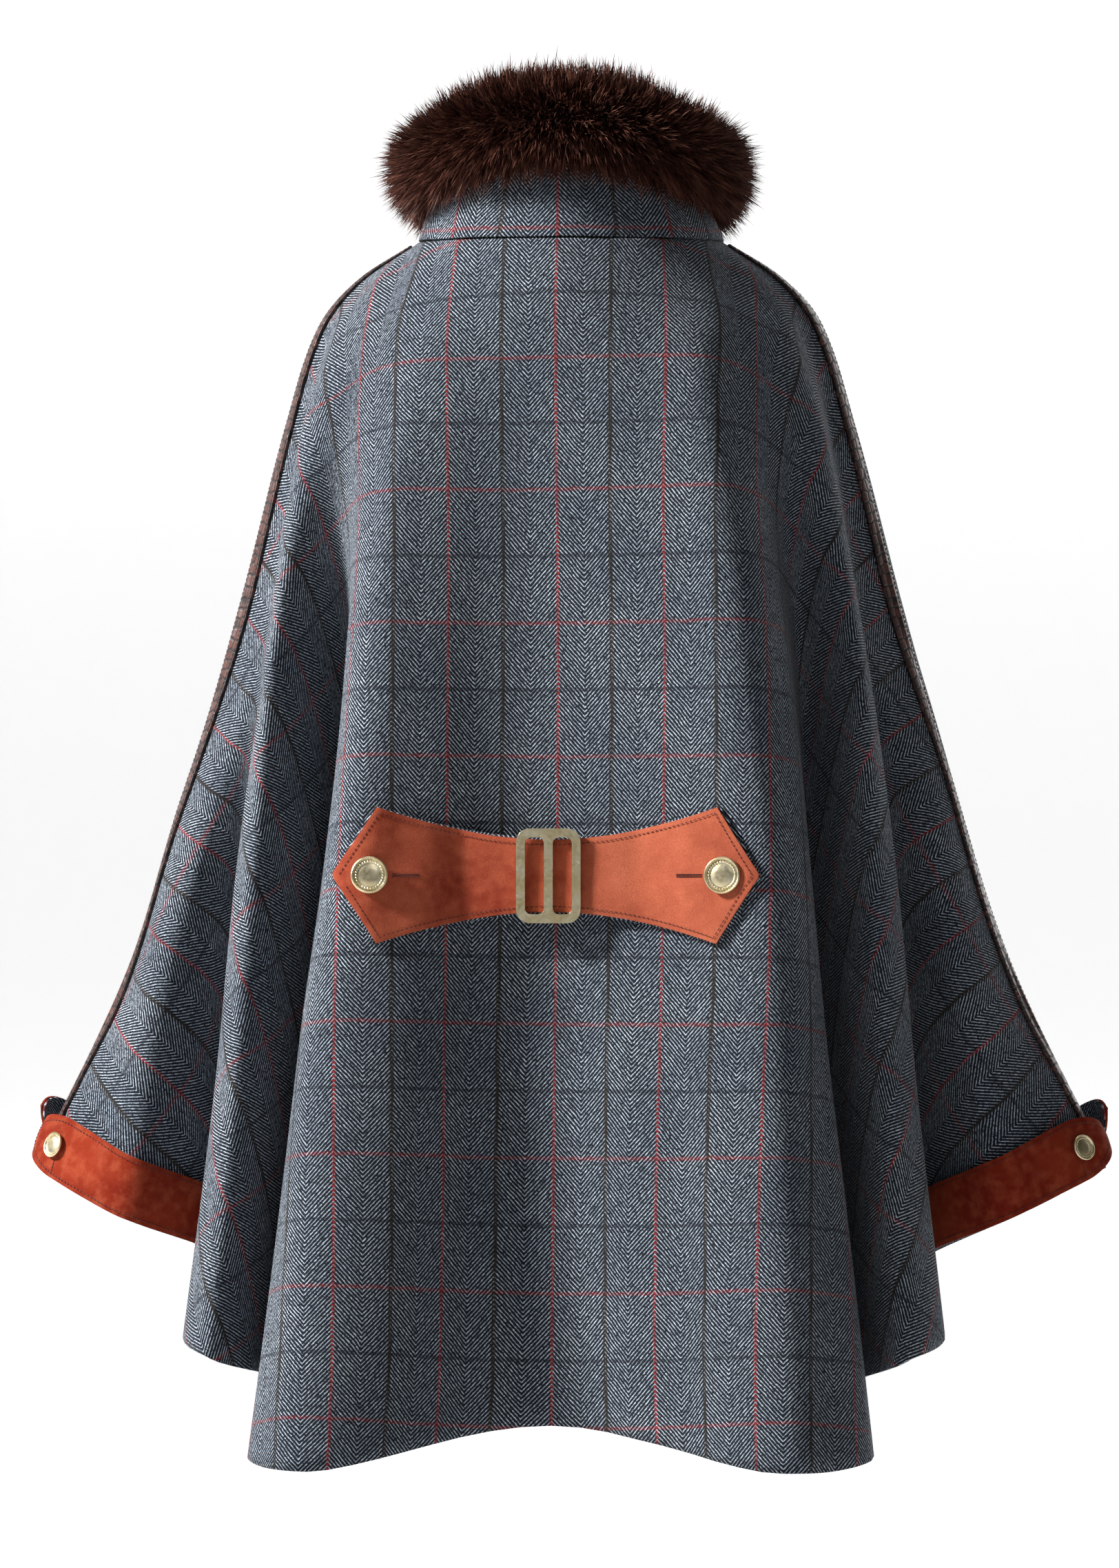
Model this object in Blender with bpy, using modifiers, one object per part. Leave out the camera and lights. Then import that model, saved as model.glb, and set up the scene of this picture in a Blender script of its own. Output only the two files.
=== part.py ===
"""A tweed cape with batwing sleeves, worn by nobody: it hangs as it does on a wearer.

The origin is the centre of the neck seam at the nape's height. +Z is up, the back of the
garment faces -Y and the wearer's right is +X. Sizes are in metres; the drape tables are in
millimetres.

The cloth hangs in drape lines that run from the neck seam to the lower edge: over the ridges
and along the valleys of the folds. Each line is one row of a table, and the cloth is a smooth
surface through them, with a wall of even thickness.
"""

import math
from collections import namedtuple

import bmesh
import bpy
from mathutils import Vector

MM = 0.001
SEAM = 0.0003

# Cloth and leather
TWEED_WALL = 0.0024
COLLAR_WALL = 0.0030
SUEDE_WALL = 0.0014
FACING_WALL = 0.0016
TRIM_WALL = 0.0012
TRIM_WIDTH = 0.013

# Neck and collar
NECK_HALF_WIDTH = 0.105
NECK_BACK = 0.088
NECK_FRONT = 0.082
NECK_FRONT_DROP = 0.055
COLLAR_TOP_HALF_WIDTH = 0.083
COLLAR_TOP_BACK = 0.074
COLLAR_TOP_FRONT = 0.068
COLLAR_HEIGHT_BACK = 0.072
COLLAR_HEIGHT_SIDE = 0.046
COLLAR_HEIGHT_FRONT = 0.062
COLLAR_SPLIT = 0.0010

# Fur round the collar's top edge, to the tips of the hair
FUR_OUT = 0.046
FUR_UP = 0.047
FUR_IN = 0.022
FUR_DROOP_BACK = 0.037
FUR_DROOP_SIDE = 0.043

# Front closing: the wearer's right front laps over the left
LAP = 0.024
LAP_BLEND = 0.045
FRONT_BUTTON_HEIGHTS = (-0.130, -0.260, -0.390, -0.520)

# Turned-back cuffs
CUFF_HEIGHT = 0.041
CUFF_FOLD = 0.0016
TAB_PAST_SEAM = 0.004
FRONT_TAB_SHORT = 0.006
FRONT_TAB_RISE = 0.016
TAB_ROUND = 0.026
CUFF_BUTTON_COLUMN = 4
CUFF_STEPS = (0.04, 0.10, 0.2, 1 / 3, 0.5, 2 / 3, 5 / 6, 1.0, 7 / 6, 4 / 3, 1.5, 5 / 3, 1.85)
CUFF_CLEAR = 0.0013

# Half belt across the back
BELT_HEIGHT = -0.433
BELT_TIP = 0.143
BELT_CORNER = 0.116
BELT_MID_HALF = 0.0245
BELT_END_HALF = 0.0460
BELT_TIP_HALF = 0.0015
BELT_BACKING_MARGIN = 0.0012
BELT_BUTTON_X = 0.1205
BELT_CLEAR = 0.0012
BELT_BRIDGE = 0.062
BUCKLE_WIDTH = 0.044
BUCKLE_HEIGHT = 0.064
BUCKLE_THICK = 0.003
BUCKLE_BAR = 0.006

LARGE_BUTTON = 0.0254
SMALL_BUTTON = 0.0180

ROWS = 20
GRIDS = {}
DrapeLine = namedtuple(
    "DrapeLine", "name turn columns neck_z edge_z left right yoke shoulder chest rib waist hip edge"
)
# How far down a drape line each of its levels lies, as a share of the line's drop
LEVELS = (0.0, 0.04, 0.09, 0.19, 0.38, 0.57, 0.78, 1.0)

# Back: turn is the line's angle round the neck from the centre back, in degrees; columns is
# the number of mesh columns up to the next line; left and right move it sideways on that side,
# as the cloth hangs a little unevenly; the rest are (x, y) in millimetres.
BACK_LINES = (
    DrapeLine(
        "centre", 0, 4, 0, -805, 0, 0,
        (0, -100), (0, -107), (0, -116), (0, -121), (0, -124), (0, -130), (0, -134),
    ),
    DrapeLine(
        "lobe", 30, 4, 0, -833, -4, 4,
        (62, -88), (84, -101), (104, -121), (127, -141), (142, -156), (152, -177), (160, -204),
    ),
    DrapeLine(
        "fold_one", 47, 4, 0, -826, -10, 7,
        (93, -72), (109, -88), (126, -106), (151, -117), (168, -123), (191, -137), (213, -160),
    ),
    DrapeLine(
        "valley_one", 57, 4, -1, -790, -9, 4,
        (108, -58), (129, -73), (149, -77), (157, -44), (158, -27), (163, -20), (172, -16),
    ),
    DrapeLine(
        "fold_two", 66, 3, -1, -760, -9, 2,
        (121, -44), (146, -58), (173, -71), (203, -86), (215, -103), (226, -121), (240, -140),
    ),
    DrapeLine(
        "fold_side", 71, 3, -1, -747, -8, 2,
        (128, -37), (154, -50), (181, -60), (208, -70), (228, -79), (243, -88), (263, -100),
    ),
    DrapeLine(
        "underarm", 77, 3, -2, -700, 0, 0,
        (134, -28), (158, -39), (181, -45), (202, -52), (219, -36), (228, -14), (234, -3),
    ),
    DrapeLine(
        "sleeve", 84, 3, -2, -665, 0, 0,
        (139.5, -16), (162, -25), (181.5, -29), (206, -35), (241, -42), (277, -48), (306, -52),
    ),
    DrapeLine(
        "overarm", 90, 0, -3, -633, 0, 0,
        (143.5, -4), (169.5, -9), (190.5, -12), (221, -14), (256, -14), (300, -12), (368, 0),
    ),
)

# Front: the same, with the angle from the centre front. It is fuller at the breast and flatter below.
FRONT_LINES = (
    DrapeLine(
        "centre", 0, 3, -55, -790, 0, 0,
        (0, 92), (0, 102), (0, 118), (0, 129), (0, 132), (0, 140), (0, 152),
    ),
    DrapeLine(
        "breast", 30, 4, -42, -800, -3, 2,
        (59, 84), (68, 97), (78, 117), (91, 134), (98, 142), (105, 158), (113, 182),
    ),
    DrapeLine(
        "fold_one", 47, 4, -28, -790, -5, -2,
        (93, 68), (109, 82), (127, 99), (147, 108), (159, 113), (170, 124), (183, 140),
    ),
    DrapeLine(
        "valley_one", 57, 4, -18, -762, -5, -2,
        (108, 54), (129, 68), (149, 73), (155, 43), (156, 28), (159, 21), (163, 17),
    ),
    DrapeLine(
        "fold_two", 66, 3, -12, -738, -4, -4,
        (121, 42), (146, 55), (173, 67), (198, 80), (207, 94), (215, 109), (224, 123),
    ),
    DrapeLine(
        "fold_side", 71, 3, -9, -728, -3, -4,
        (128, 36), (156, 48), (184, 56), (207, 62), (219, 70), (229, 77), (240, 86),
    ),
    DrapeLine(
        "underarm", 77, 3, -6, -700, 0, 0,
        (135, 26), (163, 35), (189, 40), (214, 37), (224, 28), (228, 14), (234, 3),
    ),
    DrapeLine(
        "sleeve", 84, 3, -4, -665, 0, 0,
        (143.5, 9), (172.5, 12), (195.5, 14), (228, 16), (260, 22), (288, 46), (306, 52),
    ),
    DrapeLine(
        "overarm", 90, 0, -3, -633, 0, 0,
        (143.5, -4), (169.5, -9), (190.5, -12), (221, -14), (256, -14), (300, -12), (368, 0),
    ),
)
OVERARM = 8

# Soft creases across the broad panels, as seen from behind: from (x, z) to (x, z), how far the
# crease stands proud (a trough is negative) and its half width, in millimetres.
Crease = namedtuple("Crease", "name x_top z_top x_low z_low proud width")
CREASES = (
    Crease("hollow_left_of_centre", -38, -470, -44, -830, -7, 42),
    Crease("hollow_between_blades", -44, -60, -36, -420, -6, 44),
    Crease("ridge_right_back", 58, -500, 62, -840, 4, 24),
    Crease("groove_right_back", 76, -480, 88, -830, -5, 16),
    Crease("crease_left_sleeve", -262, -330, -292, -600, 3, 12),
    Crease("crease_right_sleeve", 244, -300, 286, -580, 3, 12),
)


def material(name, colour, roughness, metallic=0.0):
    made = bpy.data.materials.new(name)
    made.use_nodes = True
    shader = made.node_tree.nodes["Principled BSDF"]
    shader.inputs["Base Color"].default_value = (*colour, 1.0)
    shader.inputs["Roughness"].default_value = roughness
    shader.inputs["Metallic"].default_value = metallic
    return made


def between(p0, p1, p2, p3, share):
    """The point at that share of the way from p1 to p2 on a centripetal Catmull-Rom curve."""
    t0 = 0.0
    t1 = t0 + max((p1 - p0).length, 1e-6) ** 0.5
    t2 = t1 + max((p2 - p1).length, 1e-6) ** 0.5
    t3 = t2 + max((p3 - p2).length, 1e-6) ** 0.5
    t = t1 + (t2 - t1) * share
    a1 = p0.lerp(p1, (t - t0) / (t1 - t0))
    a2 = p1.lerp(p2, (t - t1) / (t2 - t1))
    a3 = p2.lerp(p3, (t - t2) / (t3 - t2))
    b1 = a1.lerp(a2, (t - t0) / (t2 - t0))
    b2 = a2.lerp(a3, (t - t1) / (t3 - t1))
    return b1.lerp(b2, (t - t1) / (t2 - t1))


def mixed(values, places, at):
    """A smooth curve through values at those places, read at one place (cubic Hermite)."""
    k = max(i for i in range(len(places) - 1) if places[i] <= at or i == 0)

    def slope(i):
        low = max(i - 1, 0)
        high = min(i + 1, len(places) - 1)
        return (values[high] - values[low]) / (places[high] - places[low])

    width = places[k + 1] - places[k]
    s = (at - places[k]) / width
    start = values[k] * (2 * s**3 - 3 * s**2 + 1) + slope(k) * (width * (s**3 - 2 * s**2 + s))
    end = values[k + 1] * (3 * s**2 - 2 * s**3) + slope(k + 1) * (width * (s**3 - s**2))
    return start + end


def neck_point(turn, front):
    """A point of the neck seam. turn is in degrees from the centre back, or from the centre front."""
    angle = math.radians(turn)
    x = NECK_HALF_WIDTH * math.sin(angle)
    if not front:
        return Vector((x, -NECK_BACK * math.cos(angle), 0.0))
    return Vector((x, NECK_FRONT * math.cos(angle), -NECK_FRONT_DROP * math.cos(angle) ** 1.6))


def line_point(line, front, share):
    """The point of one drape line at that share of its drop, on the +X half."""
    neck = neck_point(line.turn, front)
    knots = [neck]
    top = neck.z
    for level, (x, y) in zip(LEVELS[1:], line[7:]):
        knots.append(Vector((x * MM, y * MM, top + (line.edge_z * MM - top) * level)))
    return mixed(knots, LEVELS, share)


def draped(lines, front, place, share):
    """The cloth's outer surface on the +X half, before creases.

    place counts drape lines from the centre, 0, to the overarm seam, 8. Past the centre it
    mirrors, and past the seam it goes on to the other panel."""
    if place < 0:
        p = draped(lines, front, -place, share)
        return Vector((-p.x, p.y, p.z))
    if place > OVERARM:
        return draped(BACK_LINES if front else FRONT_LINES, not front, 2 * OVERARM - place, share)
    k = min(int(place), OVERARM - 1)
    near = [line_point(lines[i], front, share) for i in range(max(k - 1, 0), min(k + 3, len(lines)))]
    if k == 0:
        near.insert(0, Vector((-near[1].x, near[1].y, near[1].z)))
    if k == OVERARM - 1:
        other = (BACK_LINES if front else FRONT_LINES)[OVERARM - 1]
        near.append(line_point(other, not front, share))
    return between(*near, place - k)


def crease_depth(point):
    """How far the creases lift the cloth of the back at a point, in metres."""
    lift = 0.0
    for crease in CREASES:
        top = Vector((crease.x_top, crease.z_top)) * MM
        low = Vector((crease.x_low, crease.z_low)) * MM
        run = low - top
        offset = Vector((point.x, point.z)) - top
        along = offset.dot(run) / run.length_squared
        across = abs(offset.x * run.y - offset.y * run.x) / run.length
        fade = max(0.0, min(1.0, (along + 0.25) / 0.5)) * max(0.0, min(1.0, (1.6 - along) / 0.5))
        lift += crease.proud * MM * fade * math.exp(-((across / (crease.width * MM)) ** 2))
    return lift


def sideways(side, front, place, share):
    """How far the cloth hangs further out on that side than the table's line, in metres."""
    lines = FRONT_LINES if front else BACK_LINES
    k = min(int(place), OVERARM - 1)
    near, far = (line.left if side < 0 else line.right for line in lines[k : k + 2])
    ease = max(0.0, min(1.0, (share - 0.12) / 0.34))
    return (near + (far - near) * (place - k)) * MM * ease * ease * (3 - 2 * ease)


def surface(side, front, place, share):
    """(point, outward normal) of the cloth. side is -1 for the wearer's left and 1 for the right."""
    lines = FRONT_LINES if front else BACK_LINES
    step = 0.02
    low = max(share - step, 0.0)
    high = min(share + step, 1.0)
    across = draped(lines, front, place + step, share) - draped(lines, front, place - step, share)
    down = draped(lines, front, place, high) - draped(lines, front, place, low)
    normal = across.cross(down).normalized()
    if front:
        normal = -normal
    point = draped(lines, front, place, share)
    if 0 <= place < OVERARM:
        point.x += sideways(side, front, place, share)
    point.x *= side
    normal.x *= side
    if not front:
        point = point - normal * crease_depth(point) * min(1.0, share / 0.08)
    return point, -normal


def rows_down(count=ROWS):
    """Shares of the drop for the mesh rows, closer together at the shoulder."""
    return [(i / count) ** 1.3 for i in range(count + 1)]


def columns_of(lines):
    """Places of the mesh columns from the centre to the overarm seam."""
    places = []
    for k, line in enumerate(lines[:-1]):
        places += [k + j / line.columns for j in range(line.columns)]
    return places + [float(OVERARM)]


def span(marks, at):
    """The index of the span that holds a value, and the share of the way across it."""
    k = max(i for i in range(len(marks) - 1) if marks[i] <= at or i == 0)
    return k, (at - marks[k]) / (marks[k + 1] - marks[k])


def cloth(side, front, place, share):
    """(point, outward normal) on the panel as it is meshed, so that pieces on it stay clear of it."""
    key = (side, front)
    columns = columns_of(FRONT_LINES if front else BACK_LINES)
    rows = rows_down()
    if key not in GRIDS:
        GRIDS[key] = [[surface(side, front, column, row) for column in columns] for row in rows]
    grid = GRIDS[key]
    c, across = span(columns, place)
    r, down = span(rows, share)
    parts = []
    for i in (0, 1):
        near, far = grid[r][c][i], grid[r][c + 1][i]
        low_near, low_far = grid[r + 1][c][i], grid[r + 1][c + 1][i]
        if across > down:
            parts.append(near + (far - near) * across + (low_far - far) * down)
        else:
            parts.append(near + (low_near - near) * down + (low_far - low_near) * across)
    return parts[0], parts[1].normalized()


def wall(name, skins, finish, mirrored=0):
    """A sheet as a closed solid. skins holds the outer and the inner surface, each as rows of points.

    mirrored is the number of columns that run towards the centre; their diagonals are turned to match."""
    rows = len(skins[0])
    columns = len(skins[0][0])
    points = [p for skin in skins for row in skin for p in row]

    def at(skin, row, column):
        return (skin * rows + row) * columns + column

    faces = []
    for skin in (0, 1):
        for r in range(rows - 1):
            for c in range(columns - 1):
                near, far = (c + 1, c) if c < mirrored else (c, c + 1)
                faces.append((at(skin, r, near), at(skin, r, far), at(skin, r + 1, far)))
                faces.append((at(skin, r, near), at(skin, r + 1, far), at(skin, r + 1, near)))
    for c in range(columns - 1):
        for r in (0, rows - 1):
            faces.append((at(0, r, c), at(0, r, c + 1), at(1, r, c + 1), at(1, r, c)))
    for r in range(rows - 1):
        for c in (0, columns - 1):
            faces.append((at(0, r, c), at(0, r + 1, c), at(1, r + 1, c), at(1, r, c)))
    mesh = bpy.data.meshes.new(name)
    mesh.from_pydata(points, [], faces)
    body = bmesh.new()
    body.from_mesh(mesh)
    bmesh.ops.recalc_face_normals(body, faces=body.faces)
    body.to_mesh(mesh)
    body.free()
    return placed(name, mesh, finish)


def placed(name, mesh, finish):
    """Puts a mesh in the cape's collection as a named piece."""
    mesh.shade_smooth()
    mesh.set_sharp_from_angle(angle=math.radians(50))
    piece = bpy.data.objects.new(name, mesh)
    piece.data.materials.append(finish)
    CAPE.objects.link(piece)
    return piece


def moved_out(samples, distance):
    """Rows of points, each moved that far along its surface's normal."""
    return [[point + normal * distance for point, normal in row] for row in samples]


def back_piece(finish):
    """The back, cut in one with the backs of both sleeves."""
    half = columns_of(BACK_LINES)
    stations = [(-1, place) for place in reversed(half[1:])] + [(1, place) for place in half]
    samples = []
    for share in rows_down():
        row = [surface(side, False, place, share) for side, place in stations]
        for i in (0, -1):
            row[i][0].y -= SEAM * 0.6
        samples.append(row)
    skins = (moved_out(samples, 0.0), moved_out(samples, -TWEED_WALL))
    return wall("back", skins, finish, mirrored=len(half) - 1)


def lap_depth(side, x):
    """How far under the other front the wearer's left front lies, near the centre front."""
    if side > 0:
        return 0.0
    share = max(0.0, min(1.0, (LAP + LAP_BLEND - x * side) / LAP_BLEND))
    return (TWEED_WALL + 2 * SEAM) * share * share * (3 - 2 * share)


def front_sample(side, place, share):
    point, normal = surface(side, True, place, share)
    return point - normal * lap_depth(side, point.x), normal


def front_piece(name, side, finish):
    """One front with the front of its sleeve, and its share of the lap past the centre front."""
    stations = columns_of(FRONT_LINES)
    samples = []
    for share in rows_down():
        lap = 0.1 * LAP / draped(FRONT_LINES, True, 0.1, share).x
        places = [-lap, 0.0, lap] + stations[2:]
        row = [front_sample(side, place, share) for place in places]
        row[-1][0].y += SEAM * 0.6
        samples.append(row)
    return wall(name, (moved_out(samples, 0.0), moved_out(samples, -TWEED_WALL)), finish)


def collar_point(angle, share):
    """(point, unit vector up the collar, unit vector out of it) of the stand collar's outer face.

    angle goes round from the centre back, in radians; share is 0 at the neck seam, 1 at the top."""
    back = math.cos(angle)
    front = back < 0
    turn = math.degrees(angle if not front else math.pi - angle)
    low = neck_point(turn, front)
    if front:
        height = COLLAR_HEIGHT_SIDE + (COLLAR_HEIGHT_FRONT - COLLAR_HEIGHT_SIDE) * back**2
        depth = COLLAR_TOP_FRONT
    else:
        height = COLLAR_HEIGHT_SIDE + (COLLAR_HEIGHT_BACK - COLLAR_HEIGHT_SIDE) * back**2
        depth = COLLAR_TOP_BACK
    low.z += SEAM + TWEED_WALL * 0.5
    top = Vector((COLLAR_TOP_HALF_WIDTH * math.sin(angle), -depth * back, low.z + height))
    round_it = Vector((COLLAR_TOP_HALF_WIDTH * math.cos(angle), depth * math.sin(angle), 0.0))
    up = (top - low).normalized()
    out = round_it.cross(up).normalized()
    return low.lerp(top, share), up, out


def collar_angles(count):
    """Angles round the neck from one side of the centre front to the other."""
    split = COLLAR_SPLIT / 2 / COLLAR_TOP_HALF_WIDTH
    return [-math.pi + split + (2 * math.pi - 2 * split) * i / count for i in range(count + 1)]


def collar_piece(finish):
    outer = []
    inner = []
    for share in (1.0, 0.72, 0.4, 0.0):
        ring = [collar_point(angle, share) for angle in collar_angles(44)]
        outer.append([point for point, up, out in ring])
        inner.append([point - out * COLLAR_WALL for point, up, out in ring])
    return wall("collar", (outer, inner), finish)


def fur_section(angle, steps=9):
    """The outline of the fur round one place of the collar's top edge."""
    top, up, out = collar_point(angle, 1.0)
    droop = FUR_DROOP_BACK + (FUR_DROOP_SIDE - FUR_DROOP_BACK) * math.sin(angle) ** 2
    outline = [top + (out + up) * SEAM, top + out * SEAM - up * droop * 0.55]
    for i in range(steps + 1):
        turn = math.radians(-72 + (172 + 72) * i / steps)
        reach = FUR_OUT if math.cos(turn) > 0 else FUR_IN + COLLAR_WALL
        height = FUR_UP if math.sin(turn) > 0 else droop
        outline.append(top + out * (SEAM + reach * math.cos(turn)) + up * (SEAM + height * math.sin(turn)))
    outline.append(top - out * (FUR_IN + COLLAR_WALL) + up * SEAM)
    return outline


def fur_piece(finish):
    """The fur that caps the collar's top edge, reaching as far as its hair."""
    rings = [fur_section(angle) for angle in collar_angles(44)]
    mesh = bpy.data.meshes.new("fur_trim")
    body = bmesh.new()
    loops = [[body.verts.new(point) for point in ring] for ring in rings]
    count = len(loops[0])
    for first, second in zip(loops, loops[1:]):
        for i in range(count):
            j = (i + 1) % count
            body.faces.new((first[i], first[j], second[j], second[i]))
    body.faces.new(loops[0])
    body.faces.new(loops[-1])
    bmesh.ops.triangulate(body, faces=[f for f in body.faces if len(f.verts) > 4])
    bmesh.ops.recalc_face_normals(body, faces=body.faces)
    body.to_mesh(mesh)
    body.free()
    return placed("fur_trim", mesh, finish)


def seam_sample(side, distance, share):
    """A point of the cloth that far from the overarm seam: onto the back if negative, else the front."""
    front = distance > 0
    lines = FRONT_LINES if front else BACK_LINES
    step = 0.05
    stride = (draped(lines, front, OVERARM, share) - draped(lines, front, OVERARM - step, share)).length / step
    return cloth(side, front, OVERARM - abs(distance) / stride, share)


def trim_piece(name, side, finish):
    """The leather strip that lies over the shoulder and overarm seam."""
    spread = [TRIM_WIDTH * s for s in (-0.5, -0.25, 0.0, 0.25, 0.5)]
    shares = [0.004] + rows_down()[1:-1] + [0.992]
    samples = [[seam_sample(side, distance, share) for distance in spread] for share in shares]
    skins = (moved_out(samples, SEAM * 4 + TRIM_WALL), moved_out(samples, SEAM * 4))
    return wall(name, skins, finish)


def cuff_samples(side, front, offset, outer_end, rows=2):
    """Points of a turned-back cuff, from its rounded tab at the overarm seam to the underarm.

    offset is its distance from the sleeve where it crosses the leather strip; outer_end is how
    far the tab stands off there."""
    lines = FRONT_LINES if front else BACK_LINES
    seam = draped(lines, front, OVERARM, 1.0)
    stride = (seam - draped(lines, front, OVERARM - 0.05, 1.0)).length / 0.05
    past = -FRONT_TAB_SHORT if front else TAB_PAST_SEAM
    start = -past / stride
    places = [OVERARM - step for step in (start,) + CUFF_STEPS if step == start or step > start + 0.01]
    distance = 0.0
    before = None
    samples = [[] for _ in range(rows + 1)]
    for place in places:
        edge = draped(lines, front, place, 1.0)
        distance += (edge - before).length if before else 0.0
        before = edge
        drop = edge - draped(lines, front, place, 0.9)
        rounding = max(0.0, 1.0 - distance / TAB_ROUND)
        half = max(0.5 * math.sqrt(max(0.0, 1.0 - rounding**2)), 0.06)
        over_trim = max(0.0, min(1.0, (0.024 - distance) / 0.012))
        lift = CUFF_CLEAR + (offset - CUFF_CLEAR) * over_trim
        for r in range(rows + 1):
            height = -CUFF_FOLD + (CUFF_HEIGHT + CUFF_FOLD) * (0.5 + half * (1 - 2 * r / rows))
            if front:
                height += FRONT_TAB_RISE * max(0.0, 1.0 - distance / 0.060) ** 2
            share = 1.0 - height / drop.length * 0.1
            point, normal = cloth(side, front, place, min(share, 1.0))
            below = Vector((drop.x * side, drop.y, drop.z)) * max(0.0, share - 1.0) / 0.1
            stand = max(0.0, 1.0 - distance / 0.070) ** 2 * (0.35 + 0.65 * max(height, 0) / CUFF_HEIGHT)
            samples[r].append((point + below + normal * (lift + outer_end * stand), normal))
    return samples


def cuff_pieces(label, side, front, tweed, suede):
    """The two layers of one cuff: tweed next to the sleeve, suede outside it."""
    clear = SEAM * 6 + TRIM_WALL
    stand = 0.015 if front else 0.005
    samples = cuff_samples(side, front, clear, stand)
    wall("cuff_tweed_" + label, (moved_out(samples, FACING_WALL), moved_out(samples, 0.0)), tweed)
    lift = FACING_WALL + SEAM
    wall("cuff_suede_" + label, (moved_out(samples, lift + SUEDE_WALL), moved_out(samples, lift)), suede)
    point, normal = samples[len(samples) // 2][CUFF_BUTTON_COLUMN]
    return point + normal * (lift + SUEDE_WALL + SEAM), normal


def on_back(x, z):
    """(point, normal) of the back's outer face at a place near the centre back, as seen from behind."""
    side = 1 if x >= 0 else -1
    place = 1.0
    share = 0.5
    for _ in range(14):
        point, normal = cloth(side, False, place, share)
        wide, _ = cloth(side, False, place + 0.01, share)
        deep, _ = cloth(side, False, place, share + 0.005)
        place += (abs(x) - abs(point.x)) / max(abs(wide.x) - abs(point.x), 1e-5) * 0.01
        share += (z - point.z) / min(deep.z - point.z, -1e-5) * 0.005
        place = max(0.0, min(2.2, place))
        share = max(0.05, min(0.97, share))
    return point, normal


def under_belt(x, z):
    """(point, normal) of the form the belt lies on: the back, with its middle hollow bridged."""
    point, normal = on_back(x, z)
    if abs(x) < BELT_BRIDGE:
        left, _ = on_back(-BELT_BRIDGE, z)
        right, _ = on_back(BELT_BRIDGE, z)
        chord = left.lerp(right, (x + BELT_BRIDGE) / (2 * BELT_BRIDGE))
        flat = Vector((right.y - left.y, -2 * BELT_BRIDGE, 0.0)).normalized()
        ease = min(1.0, (BELT_BRIDGE - abs(x)) / 0.02)
        normal = normal.lerp(flat, ease).normalized()
        point.y = min(point.y, chord.y)
    return point, normal


def belt_half_height(x):
    """Half the belt's height at a distance from its middle: waisted, with pointed ends."""
    x = abs(x)
    if x <= BELT_CORNER:
        return BELT_MID_HALF + (BELT_END_HALF - BELT_MID_HALF) * (x / BELT_CORNER) ** 1.9
    share = (x - BELT_CORNER) / (BELT_TIP - BELT_CORNER)
    return BELT_END_HALF + (BELT_TIP_HALF - BELT_END_HALF) * share


def belt_samples(margin):
    """Points of the back under the belt, row by row from its top edge."""
    xs = [BELT_CORNER * i / 10 for i in range(11)]
    xs += [BELT_CORNER + (BELT_TIP - BELT_CORNER) * i / 4 for i in range(1, 5)]
    xs = [-x for x in reversed(xs[1:])] + xs
    samples = []
    for r in range(7):
        row = []
        for x in xs:
            height = (belt_half_height(x) + margin) * (1 - r / 3)
            reach = x * (BELT_TIP + margin) / BELT_TIP
            row.append(under_belt(reach, BELT_HEIGHT + height))
        samples.append(row)
    return samples


def belt_pieces(tweed, suede):
    backing = belt_samples(BELT_BACKING_MARGIN)
    face = belt_samples(0.0)
    lift = BELT_CLEAR + FACING_WALL
    wall("belt_backing", (moved_out(backing, lift), moved_out(backing, BELT_CLEAR)), tweed)
    skins = (moved_out(face, lift + SEAM + SUEDE_WALL), moved_out(face, lift + SEAM))
    wall("belt_suede", skins, suede)
    return lift + SEAM + SUEDE_WALL


def button(name, diameter, place, normal, finish):
    """A turned shank button with a raised rim and a ring round a low dome."""
    radius = diameter / 2
    profile = (
        (0.0, 1.00),
        (0.40, 0.92),
        (0.62, 0.78),
        (0.70, 0.88),
        (0.80, 0.76),
        (0.94, 1.00),
        (1.00, 0.80),
        (0.92, 0.46),
        (0.24, 0.36),
        (0.24, 0.0),
        (0.0, 0.0),
    )
    thick = diameter * 0.15
    mesh = bpy.data.meshes.new(name)
    body = bmesh.new()
    points = [body.verts.new((r * radius, 0.0, h * thick)) for r, h in profile]
    for first, second in zip(points, points[1:]):
        body.edges.new((first, second))
    body.to_mesh(mesh)
    body.free()
    piece = placed(name, mesh, finish)
    turned = piece.modifiers.new("turned", "SCREW")
    turned.steps = 14
    turned.render_steps = 14
    turned.use_merge_vertices = True
    turned.merge_threshold = 0.00005
    turned.use_smooth_shade = True
    piece.rotation_mode = "QUATERNION"
    piece.rotation_quaternion = normal.to_track_quat("Z", "Y")
    piece.location = place + normal * SEAM
    return piece


def rounded_rectangle(curve, width, height, corner, offset=0.0):
    """Adds one closed outline of straight sides and round corners to a flat curve."""
    spline = curve.splines.new("POLY")
    steps = 5
    points = []
    for quarter in range(4):
        sign_x = 1 if quarter in (0, 3) else -1
        sign_y = 1 if quarter in (0, 1) else -1
        for i in range(steps):
            turn = math.radians(90 * quarter + 90 * i / (steps - 1))
            x = offset + sign_x * (width / 2 - corner) + corner * math.cos(turn)
            points.append((x, sign_y * (height / 2 - corner) + corner * math.sin(turn)))
    spline.points.add(len(points) - 1)
    for point, (x, y) in zip(spline.points, points):
        point.co = (x, y, 0.0, 1.0)
    spline.use_cyclic_u = True


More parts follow.
